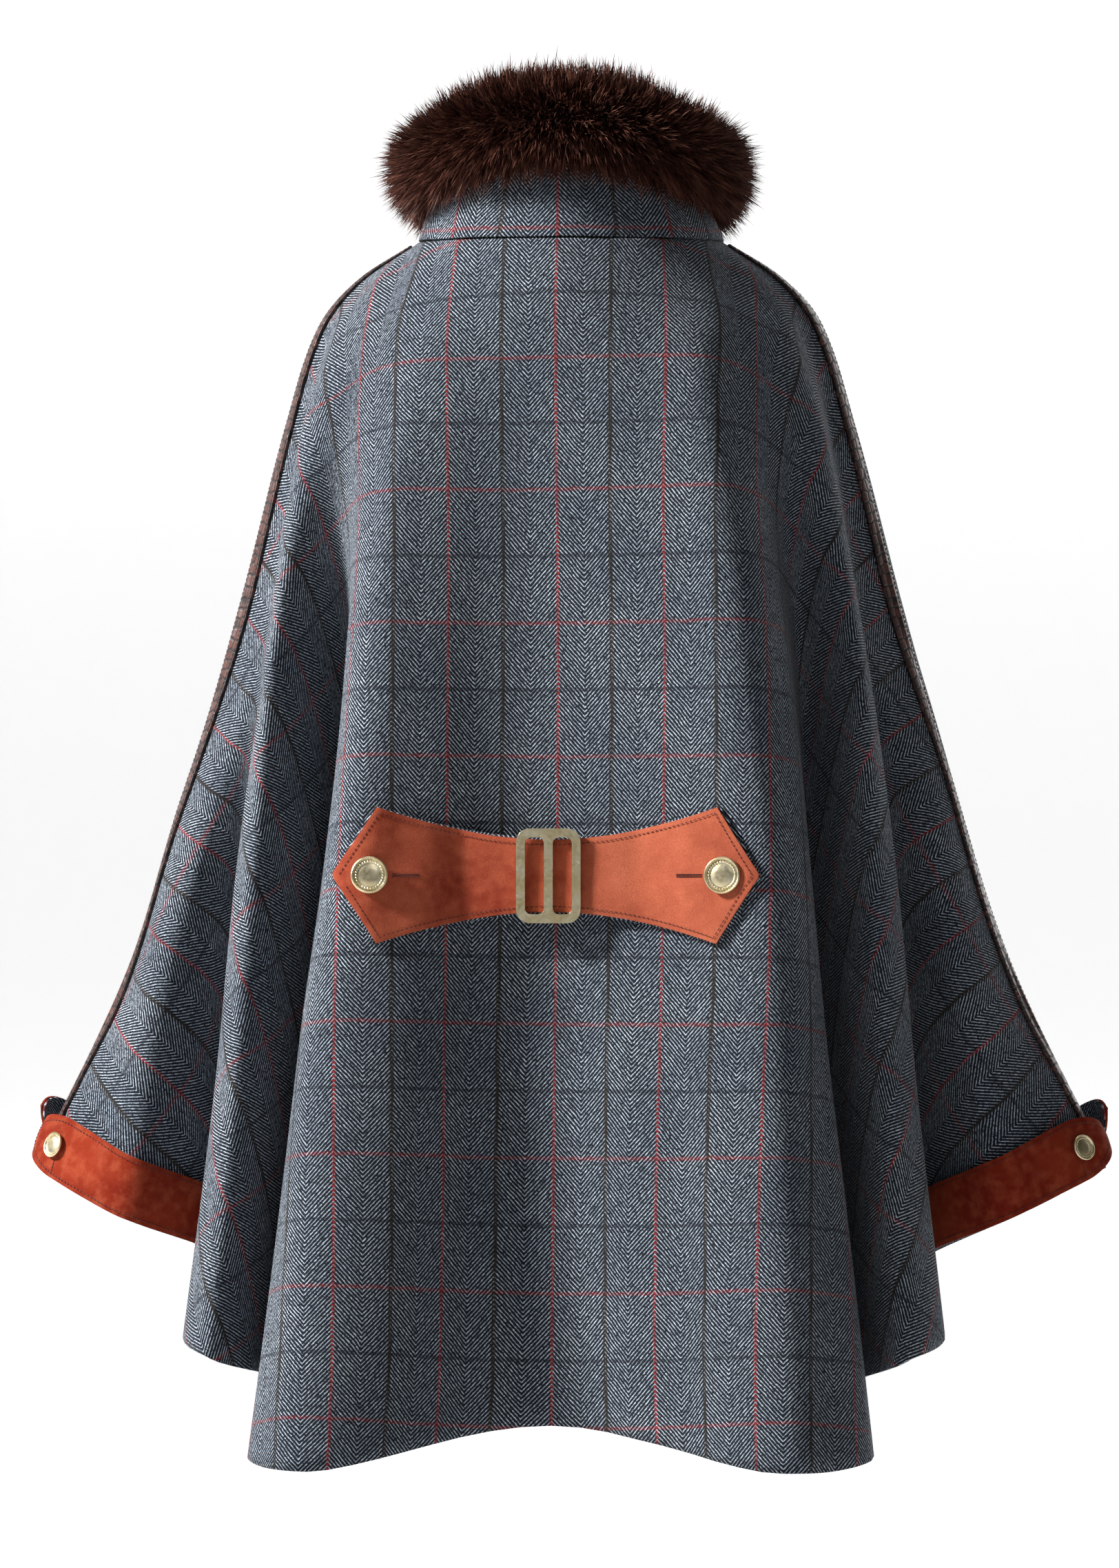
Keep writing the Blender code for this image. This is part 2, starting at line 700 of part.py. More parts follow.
def buckle(place, normal, finish):
    """A plain oblong slide with one middle bar."""
    curve = bpy.data.curves.new("buckle", "CURVE")
    curve.dimensions = "2D"
    curve.fill_mode = "BOTH"
    curve.extrude = BUCKLE_THICK / 2
    rounded_rectangle(curve, BUCKLE_WIDTH, BUCKLE_HEIGHT, 0.009)
    window = (BUCKLE_WIDTH - 3 * BUCKLE_BAR) / 2
    centre = (window + BUCKLE_BAR) / 2
    for offset in (-centre, centre):
        rounded_rectangle(curve, window, BUCKLE_HEIGHT - 2 * BUCKLE_BAR, 0.004, offset)
    flat = bpy.data.objects.new("buckle_outline", curve)
    CAPE.objects.link(flat)
    graph = bpy.context.evaluated_depsgraph_get()
    mesh = bpy.data.meshes.new_from_object(flat.evaluated_get(graph))
    bpy.data.objects.remove(flat)
    body = bmesh.new()
    body.from_mesh(mesh)
    bmesh.ops.remove_doubles(body, verts=body.verts, dist=0.00002)
    body.to_mesh(mesh)
    body.free()
    mesh.materials.clear()
    piece = placed("buckle", mesh, finish)
    piece.rotation_mode = "QUATERNION"
    piece.rotation_quaternion = normal.to_track_quat("Z", "Y")
    piece.location = place + normal * (SEAM + BUCKLE_THICK / 2)
    return piece


for old in list(bpy.data.objects):
    bpy.data.objects.remove(old)
CAPE = bpy.data.collections.new("tweed_cape")
bpy.context.scene.collection.children.link(CAPE)

TWEED = material("blue_grey_tweed", (0.13, 0.17, 0.22), 0.9)
SUEDE = material("rust_suede", (0.42, 0.07, 0.02), 0.95)
LEATHER = material("brown_embossed_leather", (0.06, 0.02, 0.015), 0.45)
FUR = material("dark_brown_fur", (0.045, 0.015, 0.01), 0.8)
GILT = material("pale_gilt_metal", (0.78, 0.66, 0.38), 0.32, 1.0)

back_piece(TWEED)
front_piece("front_left", -1, TWEED)
front_piece("front_right", 1, TWEED)
collar_piece(TWEED)
fur_piece(FUR)
for label, side in (("left", -1), ("right", 1)):
    trim_piece("arm_trim_" + label, side, LEATHER)
    cuff_pieces(label + "_front", side, True, TWEED, SUEDE)
    point, normal = cuff_pieces(label + "_back", side, False, TWEED, SUEDE)
    button("cuff_button_" + label, SMALL_BUTTON, point, normal, GILT)
belt_lift = belt_pieces(TWEED, SUEDE)
for label, x in (("left", -BELT_BUTTON_X), ("right", BELT_BUTTON_X)):
    point, normal = under_belt(x, BELT_HEIGHT)
    button("belt_button_" + label, LARGE_BUTTON, point + normal * belt_lift, normal, GILT)
point, normal = under_belt(0.0, BELT_HEIGHT)
buckle(point + normal * (belt_lift + 0.0011), normal, GILT)
for i, height in enumerate(FRONT_BUTTON_HEIGHTS, start=1):
    top = draped(FRONT_LINES, True, 0.0, 0.0).z
    low = draped(FRONT_LINES, True, 0.0, 1.0).z
    point, normal = cloth(1, True, 0.0, (height - top) / (low - top))
    button("front_button_" + str(i), LARGE_BUTTON, point, normal, GILT)
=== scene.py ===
"""A tweed cape with batwing sleeves, hanging as it does when it is worn.

The cape is built up as it is sewn: the cloth panels first, then the collar and its fur, the
leather strips over the arm seams, the turned-back cuffs, the half belt and the buttons.
Sizes are in metres, except in the drape tables, which are in millimetres.
"""

from collections import namedtuple
from functools import lru_cache
from math import cos, degrees, exp, hypot, pi, radians, sin, sqrt

import bmesh
import bpy
import numpy as np
from mathutils import Matrix, Vector


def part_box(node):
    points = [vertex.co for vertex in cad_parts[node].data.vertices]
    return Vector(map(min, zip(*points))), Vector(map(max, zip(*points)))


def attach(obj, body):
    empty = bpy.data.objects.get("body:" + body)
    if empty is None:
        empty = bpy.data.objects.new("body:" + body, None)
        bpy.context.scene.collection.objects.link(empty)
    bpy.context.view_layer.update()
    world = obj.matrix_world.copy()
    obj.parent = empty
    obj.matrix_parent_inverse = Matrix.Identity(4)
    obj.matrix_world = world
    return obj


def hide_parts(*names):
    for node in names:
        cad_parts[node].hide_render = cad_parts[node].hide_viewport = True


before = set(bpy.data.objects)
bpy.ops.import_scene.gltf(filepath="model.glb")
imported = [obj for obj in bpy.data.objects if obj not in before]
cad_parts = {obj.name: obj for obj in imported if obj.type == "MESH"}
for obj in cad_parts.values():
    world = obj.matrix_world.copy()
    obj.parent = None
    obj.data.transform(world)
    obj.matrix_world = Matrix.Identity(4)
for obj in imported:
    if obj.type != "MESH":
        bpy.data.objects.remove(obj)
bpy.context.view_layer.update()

# Back
# The back is one piece of wool tweed with the backs of both sleeves, cut with the check's red
# stripe down the centre. It hangs in drape lines from the neck seam: over ridges and along
# valleys. A drape line is a row of (x, y) places at fixed shares of its drop.
MM = 0.001
TWEED_WALL = 0.0024
NECK_HALF_WIDTH = 0.105
NECK_BACK = 0.088
NECK_FRONT = 0.082
NECK_FRONT_DROP = 0.055
LEVELS = (0.0, 0.04, 0.09, 0.19, 0.38, 0.57, 0.78, 1.0)
DrapeLine = namedtuple(
    "DrapeLine", "name turn neck_z edge_z left right yoke shoulder chest rib waist hip edge"
)
BACK_LINES = (
    DrapeLine(
        "centre", 0, 0, -805, 0, 0,
        (0, -100), (0, -107), (0, -116), (0, -121), (0, -124), (0, -130), (0, -134),
    ),
    DrapeLine(
        "lobe", 30, 0, -833, -4, 4,
        (62, -88), (84, -101), (104, -121), (127, -141), (142, -156), (152, -177), (160, -204),
    ),
    DrapeLine(
        "fold_one", 47, 0, -826, -10, 7,
        (93, -72), (109, -88), (126, -106), (151, -117), (168, -123), (191, -137), (213, -160),
    ),
    DrapeLine(
        "valley_one", 57, -1, -790, -9, 4,
        (108, -58), (129, -73), (149, -77), (157, -44), (158, -27), (163, -20), (172, -16),
    ),
    DrapeLine(
        "fold_two", 66, -1, -760, -9, 2,
        (121, -44), (146, -58), (173, -71), (203, -86), (215, -103), (226, -121), (240, -140),
    ),
    DrapeLine(
        "fold_side", 71, -1, -747, -8, 2,
        (128, -37), (154, -50), (181, -60), (208, -70), (228, -79), (243, -88), (263, -100),
    ),
    DrapeLine(
        "underarm", 77, -2, -700, 0, 0,
        (134, -28), (158, -39), (181, -45), (202, -52), (219, -36), (228, -14), (234, -3),
    ),
    DrapeLine(
        "sleeve", 84, -2, -665, 0, 0,
        (139.5, -16), (162, -25), (181.5, -29), (206, -35), (241, -42), (277, -48), (306, -52),
    ),
    DrapeLine(
        "overarm", 90, -3, -633, 0, 0,
        (143.5, -4), (169.5, -9), (190.5, -12), (221, -14), (256, -14), (300, -12), (368, 0),
    ),
)
FRONT_LINES = (
    DrapeLine(
        "centre", 0, -55, -790, 0, 0,
        (0, 92), (0, 102), (0, 118), (0, 129), (0, 132), (0, 140), (0, 152),
    ),
    DrapeLine(
        "breast", 30, -42, -800, -3, 2,
        (59, 84), (68, 97), (78, 117), (91, 134), (98, 142), (105, 158), (113, 182),
    ),
    DrapeLine(
        "fold_one", 47, -28, -790, -5, -2,
        (93, 68), (109, 82), (127, 99), (147, 108), (159, 113), (170, 124), (183, 140),
    ),
    DrapeLine(
        "valley_one", 57, -18, -762, -5, -2,
        (108, 54), (129, 68), (149, 73), (155, 43), (156, 28), (159, 21), (163, 17),
    ),
    DrapeLine(
        "fold_two", 66, -12, -738, -4, -4,
        (121, 42), (146, 55), (173, 67), (198, 80), (207, 94), (215, 109), (224, 123),
    ),
    DrapeLine(
        "fold_side", 71, -9, -728, -3, -4,
        (128, 36), (156, 48), (184, 56), (207, 62), (219, 70), (229, 77), (240, 86),
    ),
    DrapeLine(
        "underarm", 77, -6, -700, 0, 0,
        (135, 26), (163, 35), (189, 40), (214, 37), (224, 28), (228, 14), (234, 3),
    ),
    DrapeLine(
        "sleeve", 84, -4, -665, 0, 0,
        (143.5, 9), (172.5, 12), (195.5, 14), (228, 16), (260, 22), (288, 46), (306, 52),
    ),
    DrapeLine(
        "overarm", 90, -3, -633, 0, 0,
        (143.5, -4), (169.5, -9), (190.5, -12), (221, -14), (256, -14), (300, -12), (368, 0),
    ),
)
OVERARM = 8

# Soft creases, as seen from behind: from (x, z) to (x, z), how far each stands proud (a trough
# is negative) and its half width, in millimetres. The front has its own.
Crease = namedtuple("Crease", "name x_top z_top x_low z_low proud width")
BACK_CREASES = (
    Crease("hollow_left_of_centre", -38, -470, -44, -830, -7, 42),
    Crease("hollow_between_blades", -44, -60, -36, -420, -7, 44),
    Crease("ridge_right_back", 58, -500, 62, -840, 4, 24),
    Crease("groove_right_back", 76, -480, 88, -830, -5, 16),
    Crease("crease_left_sleeve", -262, -330, -292, -600, 3, 12),
    Crease("crease_right_sleeve", 244, -300, 286, -580, 3, 12),
    Crease("ridge_right_shoulder", 98, -40, 120, -280, 6.0, 21),
    Crease("edge_right_blade", 126, -170, 150, -430, 7.0, 19),
    Crease("groove_left_blade", -84, -110, -100, -390, -2.4, 15),
    Crease("ridge_left_hip", -88, -470, -96, -680, 3.0, 16),
    Crease("edge_left_hip", -158, -430, -170, -800, 4.5, 14),
    Crease("edge_right_hip", 154, -430, 170, -810, 6.0, 17),
    Crease("hollow_low_centre", -12, -560, 6, -830, -6, 60),
    Crease("ripple_left_arm", -214, -180, -244, -420, -1.8, 9),
    Crease("ripple_right_arm", 216, -200, 238, -400, -1.8, 9),
    Crease("dent_left_sleeve", -300, -430, -322, -600, -1.6, 10),
    Crease("dent_right_sleeve", 296, -410, 326, -600, -1.6, 11),
)
FRONT_CREASES = (
    Crease("hollow_left_front", -46, -430, -58, -810, -4.5, 26),
    Crease("ridge_left_front", -84, -380, -96, -800, 3, 20),
    Crease("hollow_right_front", 60, -470, 74, -810, -5, 24),
    Crease("groove_right_breast", 98, -120, 116, -360, -2.2, 13),
    Crease("groove_left_breast", -104, -100, -118, -400, -2.4, 14),
    Crease("ripple_right_front", 132, -560, 146, -800, -2, 11),
    Crease("crease_left_forearm", -260, -320, -296, -600, 2.6, 12),
    Crease("crease_right_forearm", 248, -350, 290, -600, 2.6, 12),
)


SIDES = (("left", -1), ("right", 1))


def clamped(value):
    return max(0.0, min(1.0, value))


def eased(share):
    return share * share * (3 - 2 * share)


def run_lengths(points):
    """How far along a row of points each one is."""
    runs = [0.0]
    for first, second in zip(points, points[1:]):
        runs.append(runs[-1] + (second - first).length)
    return runs


def mesh_from(name, body):
    mesh = bpy.data.meshes.new(name)
    body.to_mesh(mesh)
    body.free()
    return mesh


def linked(name, mesh, material=None):
    """A smooth-shaded object for a mesh, in the scene."""
    mesh.shade_smooth()
    if material:
        mesh.materials.append(material)
    made = bpy.data.objects.new(name, mesh)
    bpy.context.scene.collection.objects.link(made)
    return made


def form_of(body):
    """The points and faces of a small form that is copied many times."""
    body.verts.index_update()
    points = np.array([vert.co for vert in body.verts])
    faces = [[vert.index for vert in face.verts] for face in body.faces]
    body.free()
    return points, faces


def copies(name, points, faces, size, material):
    """One mesh of many copies of a form: all their points, and the faces of the first."""
    starts = range(0, len(points), size)
    mesh = bpy.data.meshes.new(name)
    mesh.from_pydata(points, [], [[i + start for i in face] for start in starts for face in faces])
    return linked(name, mesh, material)


def mixed(values, places, at):
    """A smooth curve through values at those places, read at one place (cubic Hermite)."""
    k = max(i for i in range(len(places) - 1) if places[i] <= at or i == 0)

    def slope(i):
        low = max(i - 1, 0)
        high = min(i + 1, len(places) - 1)
        return (values[high] - values[low]) / (places[high] - places[low])

    width = places[k + 1] - places[k]
    s = (at - places[k]) / width
    start = values[k] * (2 * s**3 - 3 * s**2 + 1) + slope(k) * (width * (s**3 - 2 * s**2 + s))
    end = values[k + 1] * (3 * s**2 - 2 * s**3) + slope(k + 1) * (width * (s**3 - s**2))
    return start + end


def neck_point(turn, front):
    """A point of the neck seam, by its angle from the centre back or the centre front."""
    angle = radians(turn)
    x = NECK_HALF_WIDTH * sin(angle)
    if not front:
        return Vector((x, -NECK_BACK * cos(angle), 0.0))
    return Vector((x, NECK_FRONT * cos(angle), -NECK_FRONT_DROP * cos(angle) ** 1.6))


@lru_cache(maxsize=None)
def line_point(front, index, share):
    """The point of one drape line at that share of its drop, on the +X half."""
    line = (FRONT_LINES if front else BACK_LINES)[index]
    knots = [neck_point(line.turn, front)]
    top = knots[0].z
    for level, (x, y) in zip(LEVELS[1:], line[6:]):
        knots.append(Vector((x * MM, y * MM, top + (line.edge_z * MM - top) * level)))
    return mixed(knots, LEVELS, share)


def between(p0, p1, p2, p3, share):
    """The point at that share of the way from p1 to p2 on a centripetal Catmull-Rom curve."""
    t1 = max((p1 - p0).length, 1e-6) ** 0.5
    t2 = t1 + max((p2 - p1).length, 1e-6) ** 0.5
    t3 = t2 + max((p3 - p2).length, 1e-6) ** 0.5
    t = t1 + (t2 - t1) * share
    a1 = p0.lerp(p1, t / t1)
    a2 = p1.lerp(p2, (t - t1) / (t2 - t1))
    a3 = p2.lerp(p3, (t - t2) / (t3 - t2))
    return a1.lerp(a2, t / t2).lerp(a2.lerp(a3, (t - t1) / (t3 - t1)), (t - t1) / (t2 - t1))


def draped(front, place, share):
    """The cloth's outer face on the +X half. place counts drape lines from the centre. It mirrors
    past the centre, and goes on to the other panel past the overarm seam."""
    if place < 0:
        p = draped(front, -place, share)
        return Vector((-p.x, p.y, p.z))
    if place > OVERARM:
        return draped(not front, 2 * OVERARM - place, share)
    k = min(int(place), OVERARM - 1)
    near = [line_point(front, i, share) for i in range(max(k - 1, 0), min(k + 3, OVERARM + 1))]
    if k == 0:
        near.insert(0, Vector((-near[1].x, near[1].y, near[1].z)))
    if k == OVERARM - 1:
        near.append(line_point(not front, OVERARM - 1, share))
    return between(*near, place - k)


def crease_lift(creases, point):
    lift = 0.0
    for crease in creases:
        dx, dz = (crease.x_low - crease.x_top) * MM, (crease.z_low - crease.z_top) * MM
        ox, oz = point.x - crease.x_top * MM, point.z - crease.z_top * MM
        length = hypot(dx, dz)
        across = abs(ox * dz - oz * dx) / length / (crease.width * MM)
        if across < 3:
            along = (ox * dx + oz * dz) / length**2
            fade = clamped((along + 0.25) / 0.5) * clamped((1.6 - along) / 0.5)
            lift += crease.proud * MM * fade * exp(-(across**2))
    return lift


def sideways(side, front, place, share):
    """How far the cloth hangs further out on that side than the table's line."""
    k = min(int(place), OVERARM - 1)
    lines = FRONT_LINES if front else BACK_LINES
    near, far = (line.left if side < 0 else line.right for line in lines[k : k + 2])
    return (near + (far - near) * (place - k)) * MM * eased(clamped((share - 0.12) / 0.34))


def surface(side, front, place, share):
    """(point, outward normal) of the cloth; side is -1 for the wearer's left and 1 for the right."""
    step = 0.02
    across = draped(front, place + step, share) - draped(front, place - step, share)
    down = draped(front, place, min(share + step, 1.0)) - draped(front, place, max(share - step, 0.0))
    normal = across.cross(down).normalized() * (1 if front else -1)
    point = draped(front, place, share)
    if 0 <= place < OVERARM:
        point.x += sideways(side, front, place, share)
    point.x *= side
    normal.x *= side
    lift = crease_lift(FRONT_CREASES if front else BACK_CREASES, point)
    return point + normal * lift * min(1.0, share / 0.08), normal


def laid_grid(name, columns, rows, at, material):
    """A sheet from a grid: at(i, j) gives (point, outward normal, (u, v)) for column i from one
    side and row j from the lower edge. The pattern's places go to the UV map named weave."""
    body = bmesh.new()
    bmesh.ops.create_grid(body, x_segments=columns, y_segments=rows, size=1.0)
    layer = body.loops.layers.uv.new("weave")
    outward = {}
    pattern = {}
    for vert in body.verts:
        i = round((vert.co.x + 1) / 2 * columns)
        j = round((vert.co.y + 1) / 2 * rows)
        vert.co, outward[vert], pattern[vert] = at(i, j)
    for face in body.faces:
        for loop in face.loops:
            loop[layer].uv = pattern[loop.vert]
    body.normal_update()
    if sum(vert.normal.dot(outward[vert]) for vert in body.verts) < 0:
        bmesh.ops.reverse_faces(body, faces=body.faces)
    piece = linked(name, mesh_from(name, body), material)
    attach(piece, "root")
    return piece


def thicken(piece, thickness, rounding=0.0):
    """Gives a sheet its wall, inwards from its outer face, and softens the cut edges."""
    wall = piece.modifiers.new("wall", "SOLIDIFY")
    wall.thickness = thickness
    wall.offset = -1.0
    wall.use_quality_normals = True
    if rounding:
        soft = piece.modifiers.new("soft_edge", "BEVEL")
        soft.width = rounding
        soft.segments = 3
        soft.limit_method = "ANGLE"
        soft.angle_limit = radians(50)


def lay_flat(piece, is_centre):
    """Unrolls a draped sheet to its cut: its UV map in metres, with the centre line upright at
    u = 0 and the neck end at v = 0."""
    bpy.context.view_layer.objects.active = piece
    piece.select_set(True)
    bpy.ops.object.mode_set(mode="EDIT")
    bpy.ops.mesh.select_all(action="SELECT")
    bpy.ops.uv.unwrap(method="MINIMUM_STRETCH", iterations=16, margin=0.0)
    bpy.ops.object.mode_set(mode="OBJECT")
    piece.select_set(False)
    mesh = piece.data
    loops = np.zeros(len(mesh.loops), int)
    mesh.loops.foreach_get("vertex_index", loops)
    flat = np.zeros(len(mesh.loops) * 2)
    mesh.uv_layers["weave"].data.foreach_get("uv", flat)
    flat = flat.reshape(-1, 2)
    place = np.zeros((len(mesh.vertices), 2))
    place[loops] = flat
    area = 0.0
    for face in mesh.polygons:
        ring = place[list(face.vertices)]
        nxt = np.roll(ring, -1, axis=0)
        area += abs((ring[:, 0] * nxt[:, 1] - ring[:, 1] * nxt[:, 0]).sum()) / 2
    real = sum(face.area for face in mesh.polygons)
    place *= sqrt(real / area)
    centre = list(np.flatnonzero(is_centre))
    centre.sort(key=lambda i: mesh.vertices[i].co.z)
    low, top = place[centre[0]], place[centre[-1]]
    up = (top - low) / np.linalg.norm(top - low)
    turn = np.array(((up[1], -up[0]), (up[0], up[1])))
    return (place - top) @ turn.T, loops


# How far each half of the cloth turns again beyond a deep valley, where the real one hides a
# tuck: (drape line where it starts, where it ends, degrees)
TUCKS = ((2.35, 3.75, 9.0), (5.2, 6.6, 11.0))


def tucked(place_uv, lines_at, pivots):
    """The pattern's places with the hidden tucks opened."""
    out = place_uv.copy()
    for (start, end, degrees), pivot in zip(TUCKS, pivots):
        past = np.clip((np.abs(lines_at) - start) / (end - start), 0, 1)
        angle = np.radians(degrees) * eased(past) * np.sign(lines_at)
        hub = np.where(lines_at[:, None] < 0, pivot[0], pivot[1])
        off = out - hub
        c, s = np.cos(angle), np.sin(angle)
        out = hub + np.stack((off[:, 0] * c - off[:, 1] * s, off[:, 0] * s + off[:, 1] * c), 1)
    return out


class Reading:
    """A number in a finish, with which sums can be written."""

    def __init__(self, finish, socket):
        self.finish = finish
        self.socket = socket

    def maths(self, operation, *others):
        values = dict(enumerate((self, *others)))
        made = self.finish.node("Math", {"operation": operation}, values)
        return Reading(self.finish, made.outputs[0])

    def __add__(self, other):
        return self.maths("ADD", other)

    __radd__ = __add__

    def __sub__(self, other):
        return self.maths("SUBTRACT", other)

    def __rsub__(self, other):
        return self.maths("MULTIPLY_ADD", -1.0, other)

    def __mul__(self, other):
        return self.maths("MULTIPLY", other)

    __rmul__ = __mul__

    def __truediv__(self, other):
        return self.maths("DIVIDE", other)

    def step(self, low, high):
        """0 below low and 1 above high, with a smooth rise between (or a fall, if low is above high)."""
        made = self.finish.node(
            "MapRange",
            {"interpolation_type": "SMOOTHSTEP"},
            {"Value": self, "From Min": low, "From Max": high},
        )
        return Reading(self.finish, made.outputs[0])


class Finish:
    """A material under construction."""

    def __init__(self, name, roughness):
        self.material = bpy.data.materials.new(name)
        self.material.use_nodes = True
        self.tree = self.material.node_tree
        self.shader = self.tree.nodes["Principled BSDF"]
        self.set("Roughness", roughness)

    def node(self, kind, settings=None, sockets=None):
        made = self.tree.nodes.new("ShaderNode" + kind)
        for key, value in (settings or {}).items():
            setattr(made, key, value)
        for key, value in (sockets or {}).items():
            self.join(made.inputs[key], value)
        return made

    def join(self, socket, value):
        if isinstance(value, Reading):
            value = value.socket
        if isinstance(value, bpy.types.NodeSocket):
            self.tree.links.new(value, socket)
        else:
            socket.default_value = (*value, 1.0) if socket.type == "RGBA" else value

    def set(self, socket, value):
        self.join(self.shader.inputs[socket], value)

    def reading(self, kind, settings, sockets):
        return Reading(self, self.node(kind, settings, sockets).outputs[0])

    def uv(self, name):
        return self.node("UVMap", {"uv_map": name}).outputs[0]

    def parts(self, vector):
        """The x, y and z of a place."""
        made = self.node("SeparateXYZ", {}, {0: vector})
        return [Reading(self, part) for part in made.outputs]

    def stretched(self, vector, factors):
        made = self.node("VectorMath", {"operation": "MULTIPLY"}, {0: vector, 1: factors})
        return made.outputs[0]

    def object_place(self):
        return self.node("TexCoord").outputs["Object"]

    def mix(self, share, first, second, blend="MIX"):
        made = self.node("Mix", {"data_type": "RGBA", "blend_type": blend})
        self.join(made.inputs[0], share)
        self.join(made.inputs[6], first)
        self.join(made.inputs[7], second)
        return made.outputs[2]

    def noise(self, vector, scale, detail=2.0):
        made = {"Vector": vector, "Scale": scale, "Detail": detail, "Roughness": 0.5}
        return self.reading("TexNoise", {}, made)

    def bump(self, height, distance, strength):
        made = self.node("Bump", {}, {"Strength": strength, "Distance": distance, "Height": height})
        self.set("Normal", made.outputs[0])


# The cloth is a herringbone twill of pale and dark blue-grey yarn. Red and olive stripes
# alternate along the warp, red and navy ones along the weft.
RIB_RISE = 0.0031
RIB_RUN = 0.00285
STRIPE_RISE = 0.0030
STRIPE_RUN = 0.0045
WARP_REPEAT = 0.077
WEFT_REPEAT = 0.090
RED_WEFT_AT = 0.006
PALE_YARN = (0.56, 0.63, 0.71)
GREY_YARN = (0.24, 0.275, 0.32)
DARK_YARN = (0.008, 0.011, 0.018)
RED_YARN = (0.30, 0.020, 0.018)
OLIVE_YARN = (0.024, 0.017, 0.011)
NAVY_YARN = (0.004, 0.005, 0.012)


def tweed_finish(name):
    cloth = Finish(name, 0.92)
    uv = cloth.uv("weave")
    u, v, _ = cloth.parts(uv)
    wander = cloth.noise(uv, 55.0)
    u = u + (wander - 0.5) * 0.0012
    v = v + (wander - 0.5) * 0.0016
    grain = cloth.noise(uv, 900.0, 1.0)
    fleck = cloth.noise(uv, 420.0)
    slub = cloth.noise(cloth.stretched(uv, (520.0, 110.0, 1.0)), 1.0)
    cloud = cloth.noise(uv, 14.0, 3.0)
    half = WARP_REPEAT / 2
    to_red = u.maths("PINGPONG", half)
    rib = ((v / RIB_RISE + u.maths("PINGPONG", half / 2) / RIB_RUN) * (2 * pi)).maths("SINE")
    twill = (rib * 1.5 + (grain - 0.5) * 3.0 + (fleck - 0.5) * 2.8 - 0.88).step(-0.45, 0.50)
    to_red_weft = (v - RED_WEFT_AT).maths("PINGPONG", WEFT_REPEAT / 2)
    pale = cloth.mix(slub.step(0.3, 0.7), PALE_YARN, GREY_YARN)
    colour = cloth.mix(twill, DARK_YARN, pale)
    weft_shows = 1.0 - twill * 0.8
    dashes = (rib + (grain - 0.5) * 2.0).step(-0.3, 0.6)
    red_weft = to_red_weft.step(0.0016, 0.0009) * weft_shows * dashes.step(-0.2, 0.8)
    navy_weft = (WEFT_REPEAT / 2 - to_red_weft).step(0.0016, 0.0010) * (0.02 + dashes * 0.52)
    colour = cloth.mix(navy_weft, colour, NAVY_YARN)
    colour = cloth.mix(red_weft, colour, RED_YARN)
    slant = ((v / STRIPE_RISE + u / STRIPE_RUN) * (2 * pi)).maths("SINE")
    warp_dashes = (slant + (grain - 0.5) * 2.2).step(-0.7, 0.5)
    olive = (half - to_red).step(0.0018, 0.0011) * (0.45 + warp_dashes * 0.5)
    red = to_red.step(0.0014, 0.0008) * (0.12 + warp_dashes * 0.62)
    colour = cloth.mix(olive, colour, OLIVE_YARN)
    colour = cloth.mix(red, colour, RED_YARN)
    tone = cloth.mix(cloud.step(0.3, 0.7), (0.74, 0.76, 0.79), (1.0, 0.99, 0.98))
    cloth.set("Base Color", cloth.mix(1.0, colour, tone, "MULTIPLY"))
    cloth.set("Sheen Weight", 0.08)
    cloth.set("Sheen Roughness", 0.45)
    cloth.set("Specular IOR Level", 0.2)
    cloth.bump(twill * 0.8 + grain * 0.6, 0.00055, 0.8)
    return cloth.material


TWEED = tweed_finish("blue_grey_herringbone_tweed")
BACK_COLUMNS = 144
BACK_ROWS = 108


def row_share(j, rows):
    return ((rows - j) / rows) ** 1.2


def back_at(i, j):
    place = (i / BACK_COLUMNS * 2 - 1) * OVERARM
    side = -1 if place < 0 else 1
    point, normal = surface(side, False, abs(place), row_share(j, BACK_ROWS))
    return point, normal, (0.0, 0.0)


back = laid_grid("back_cloth", BACK_COLUMNS, BACK_ROWS, back_at, TWEED)


def weave_map(piece, lines_at, is_centre):
    """Sets a panel's pattern from its cut."""
    place, loops = lay_flat(piece, is_centre)
    co = np.array([v.co for v in piece.data.vertices])
    pivots = []
    for start, end, _ in TUCKS:
        middle = (start + end) / 2
        hubs = []
        for sign in (-1, 1):
            near = np.where(np.abs(lines_at - sign * middle) < 0.06)[0]
            if len(near) == 0:
                near = np.where(np.abs(lines_at + sign * middle) < 0.06)[0]
            hubs.append(place[near[np.argmax(co[near, 2])]])
        pivots.append(hubs)
    place = tucked(place, lines_at, pivots)
    piece.data.uv_layers["weave"].data.foreach_set("uv", place[loops].ravel())


def panel_columns(columns, rows):
    """The column of every vertex of a laid grid, in the grid's own order."""
    body = bmesh.new()
    bmesh.ops.create_grid(body, x_segments=columns, y_segments=rows, size=1.0)
    at = np.array([round((vert.co.x + 1) / 2 * columns) for vert in body.verts])
    body.free()
    return at


at = panel_columns(BACK_COLUMNS, BACK_ROWS)
weave_map(back, (at / BACK_COLUMNS * 2 - 1) * OVERARM, at == BACK_COLUMNS // 2)
thicken(back, TWEED_WALL)
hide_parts("back")

# Fronts
# Two fronts with the fronts of both sleeves, cut from the same tweed. The wearer's right one
# laps over the left.
LAP = 0.024
LAP_BLEND = 0.045
LAP_UNDER = 0.0030
FRONT_COLUMNS = 74
FRONT_ROWS = 96


def lapped(side, place, share):
    """(point, normal) of a front; near the centre the wearer's left one lies under the other."""
    point, normal = surface(side, True, place, share)
    if side < 0:
        under = clamped((LAP + LAP_BLEND - point.x * side) / LAP_BLEND)
        point -= normal * LAP_UNDER * eased(under)
    return point, normal


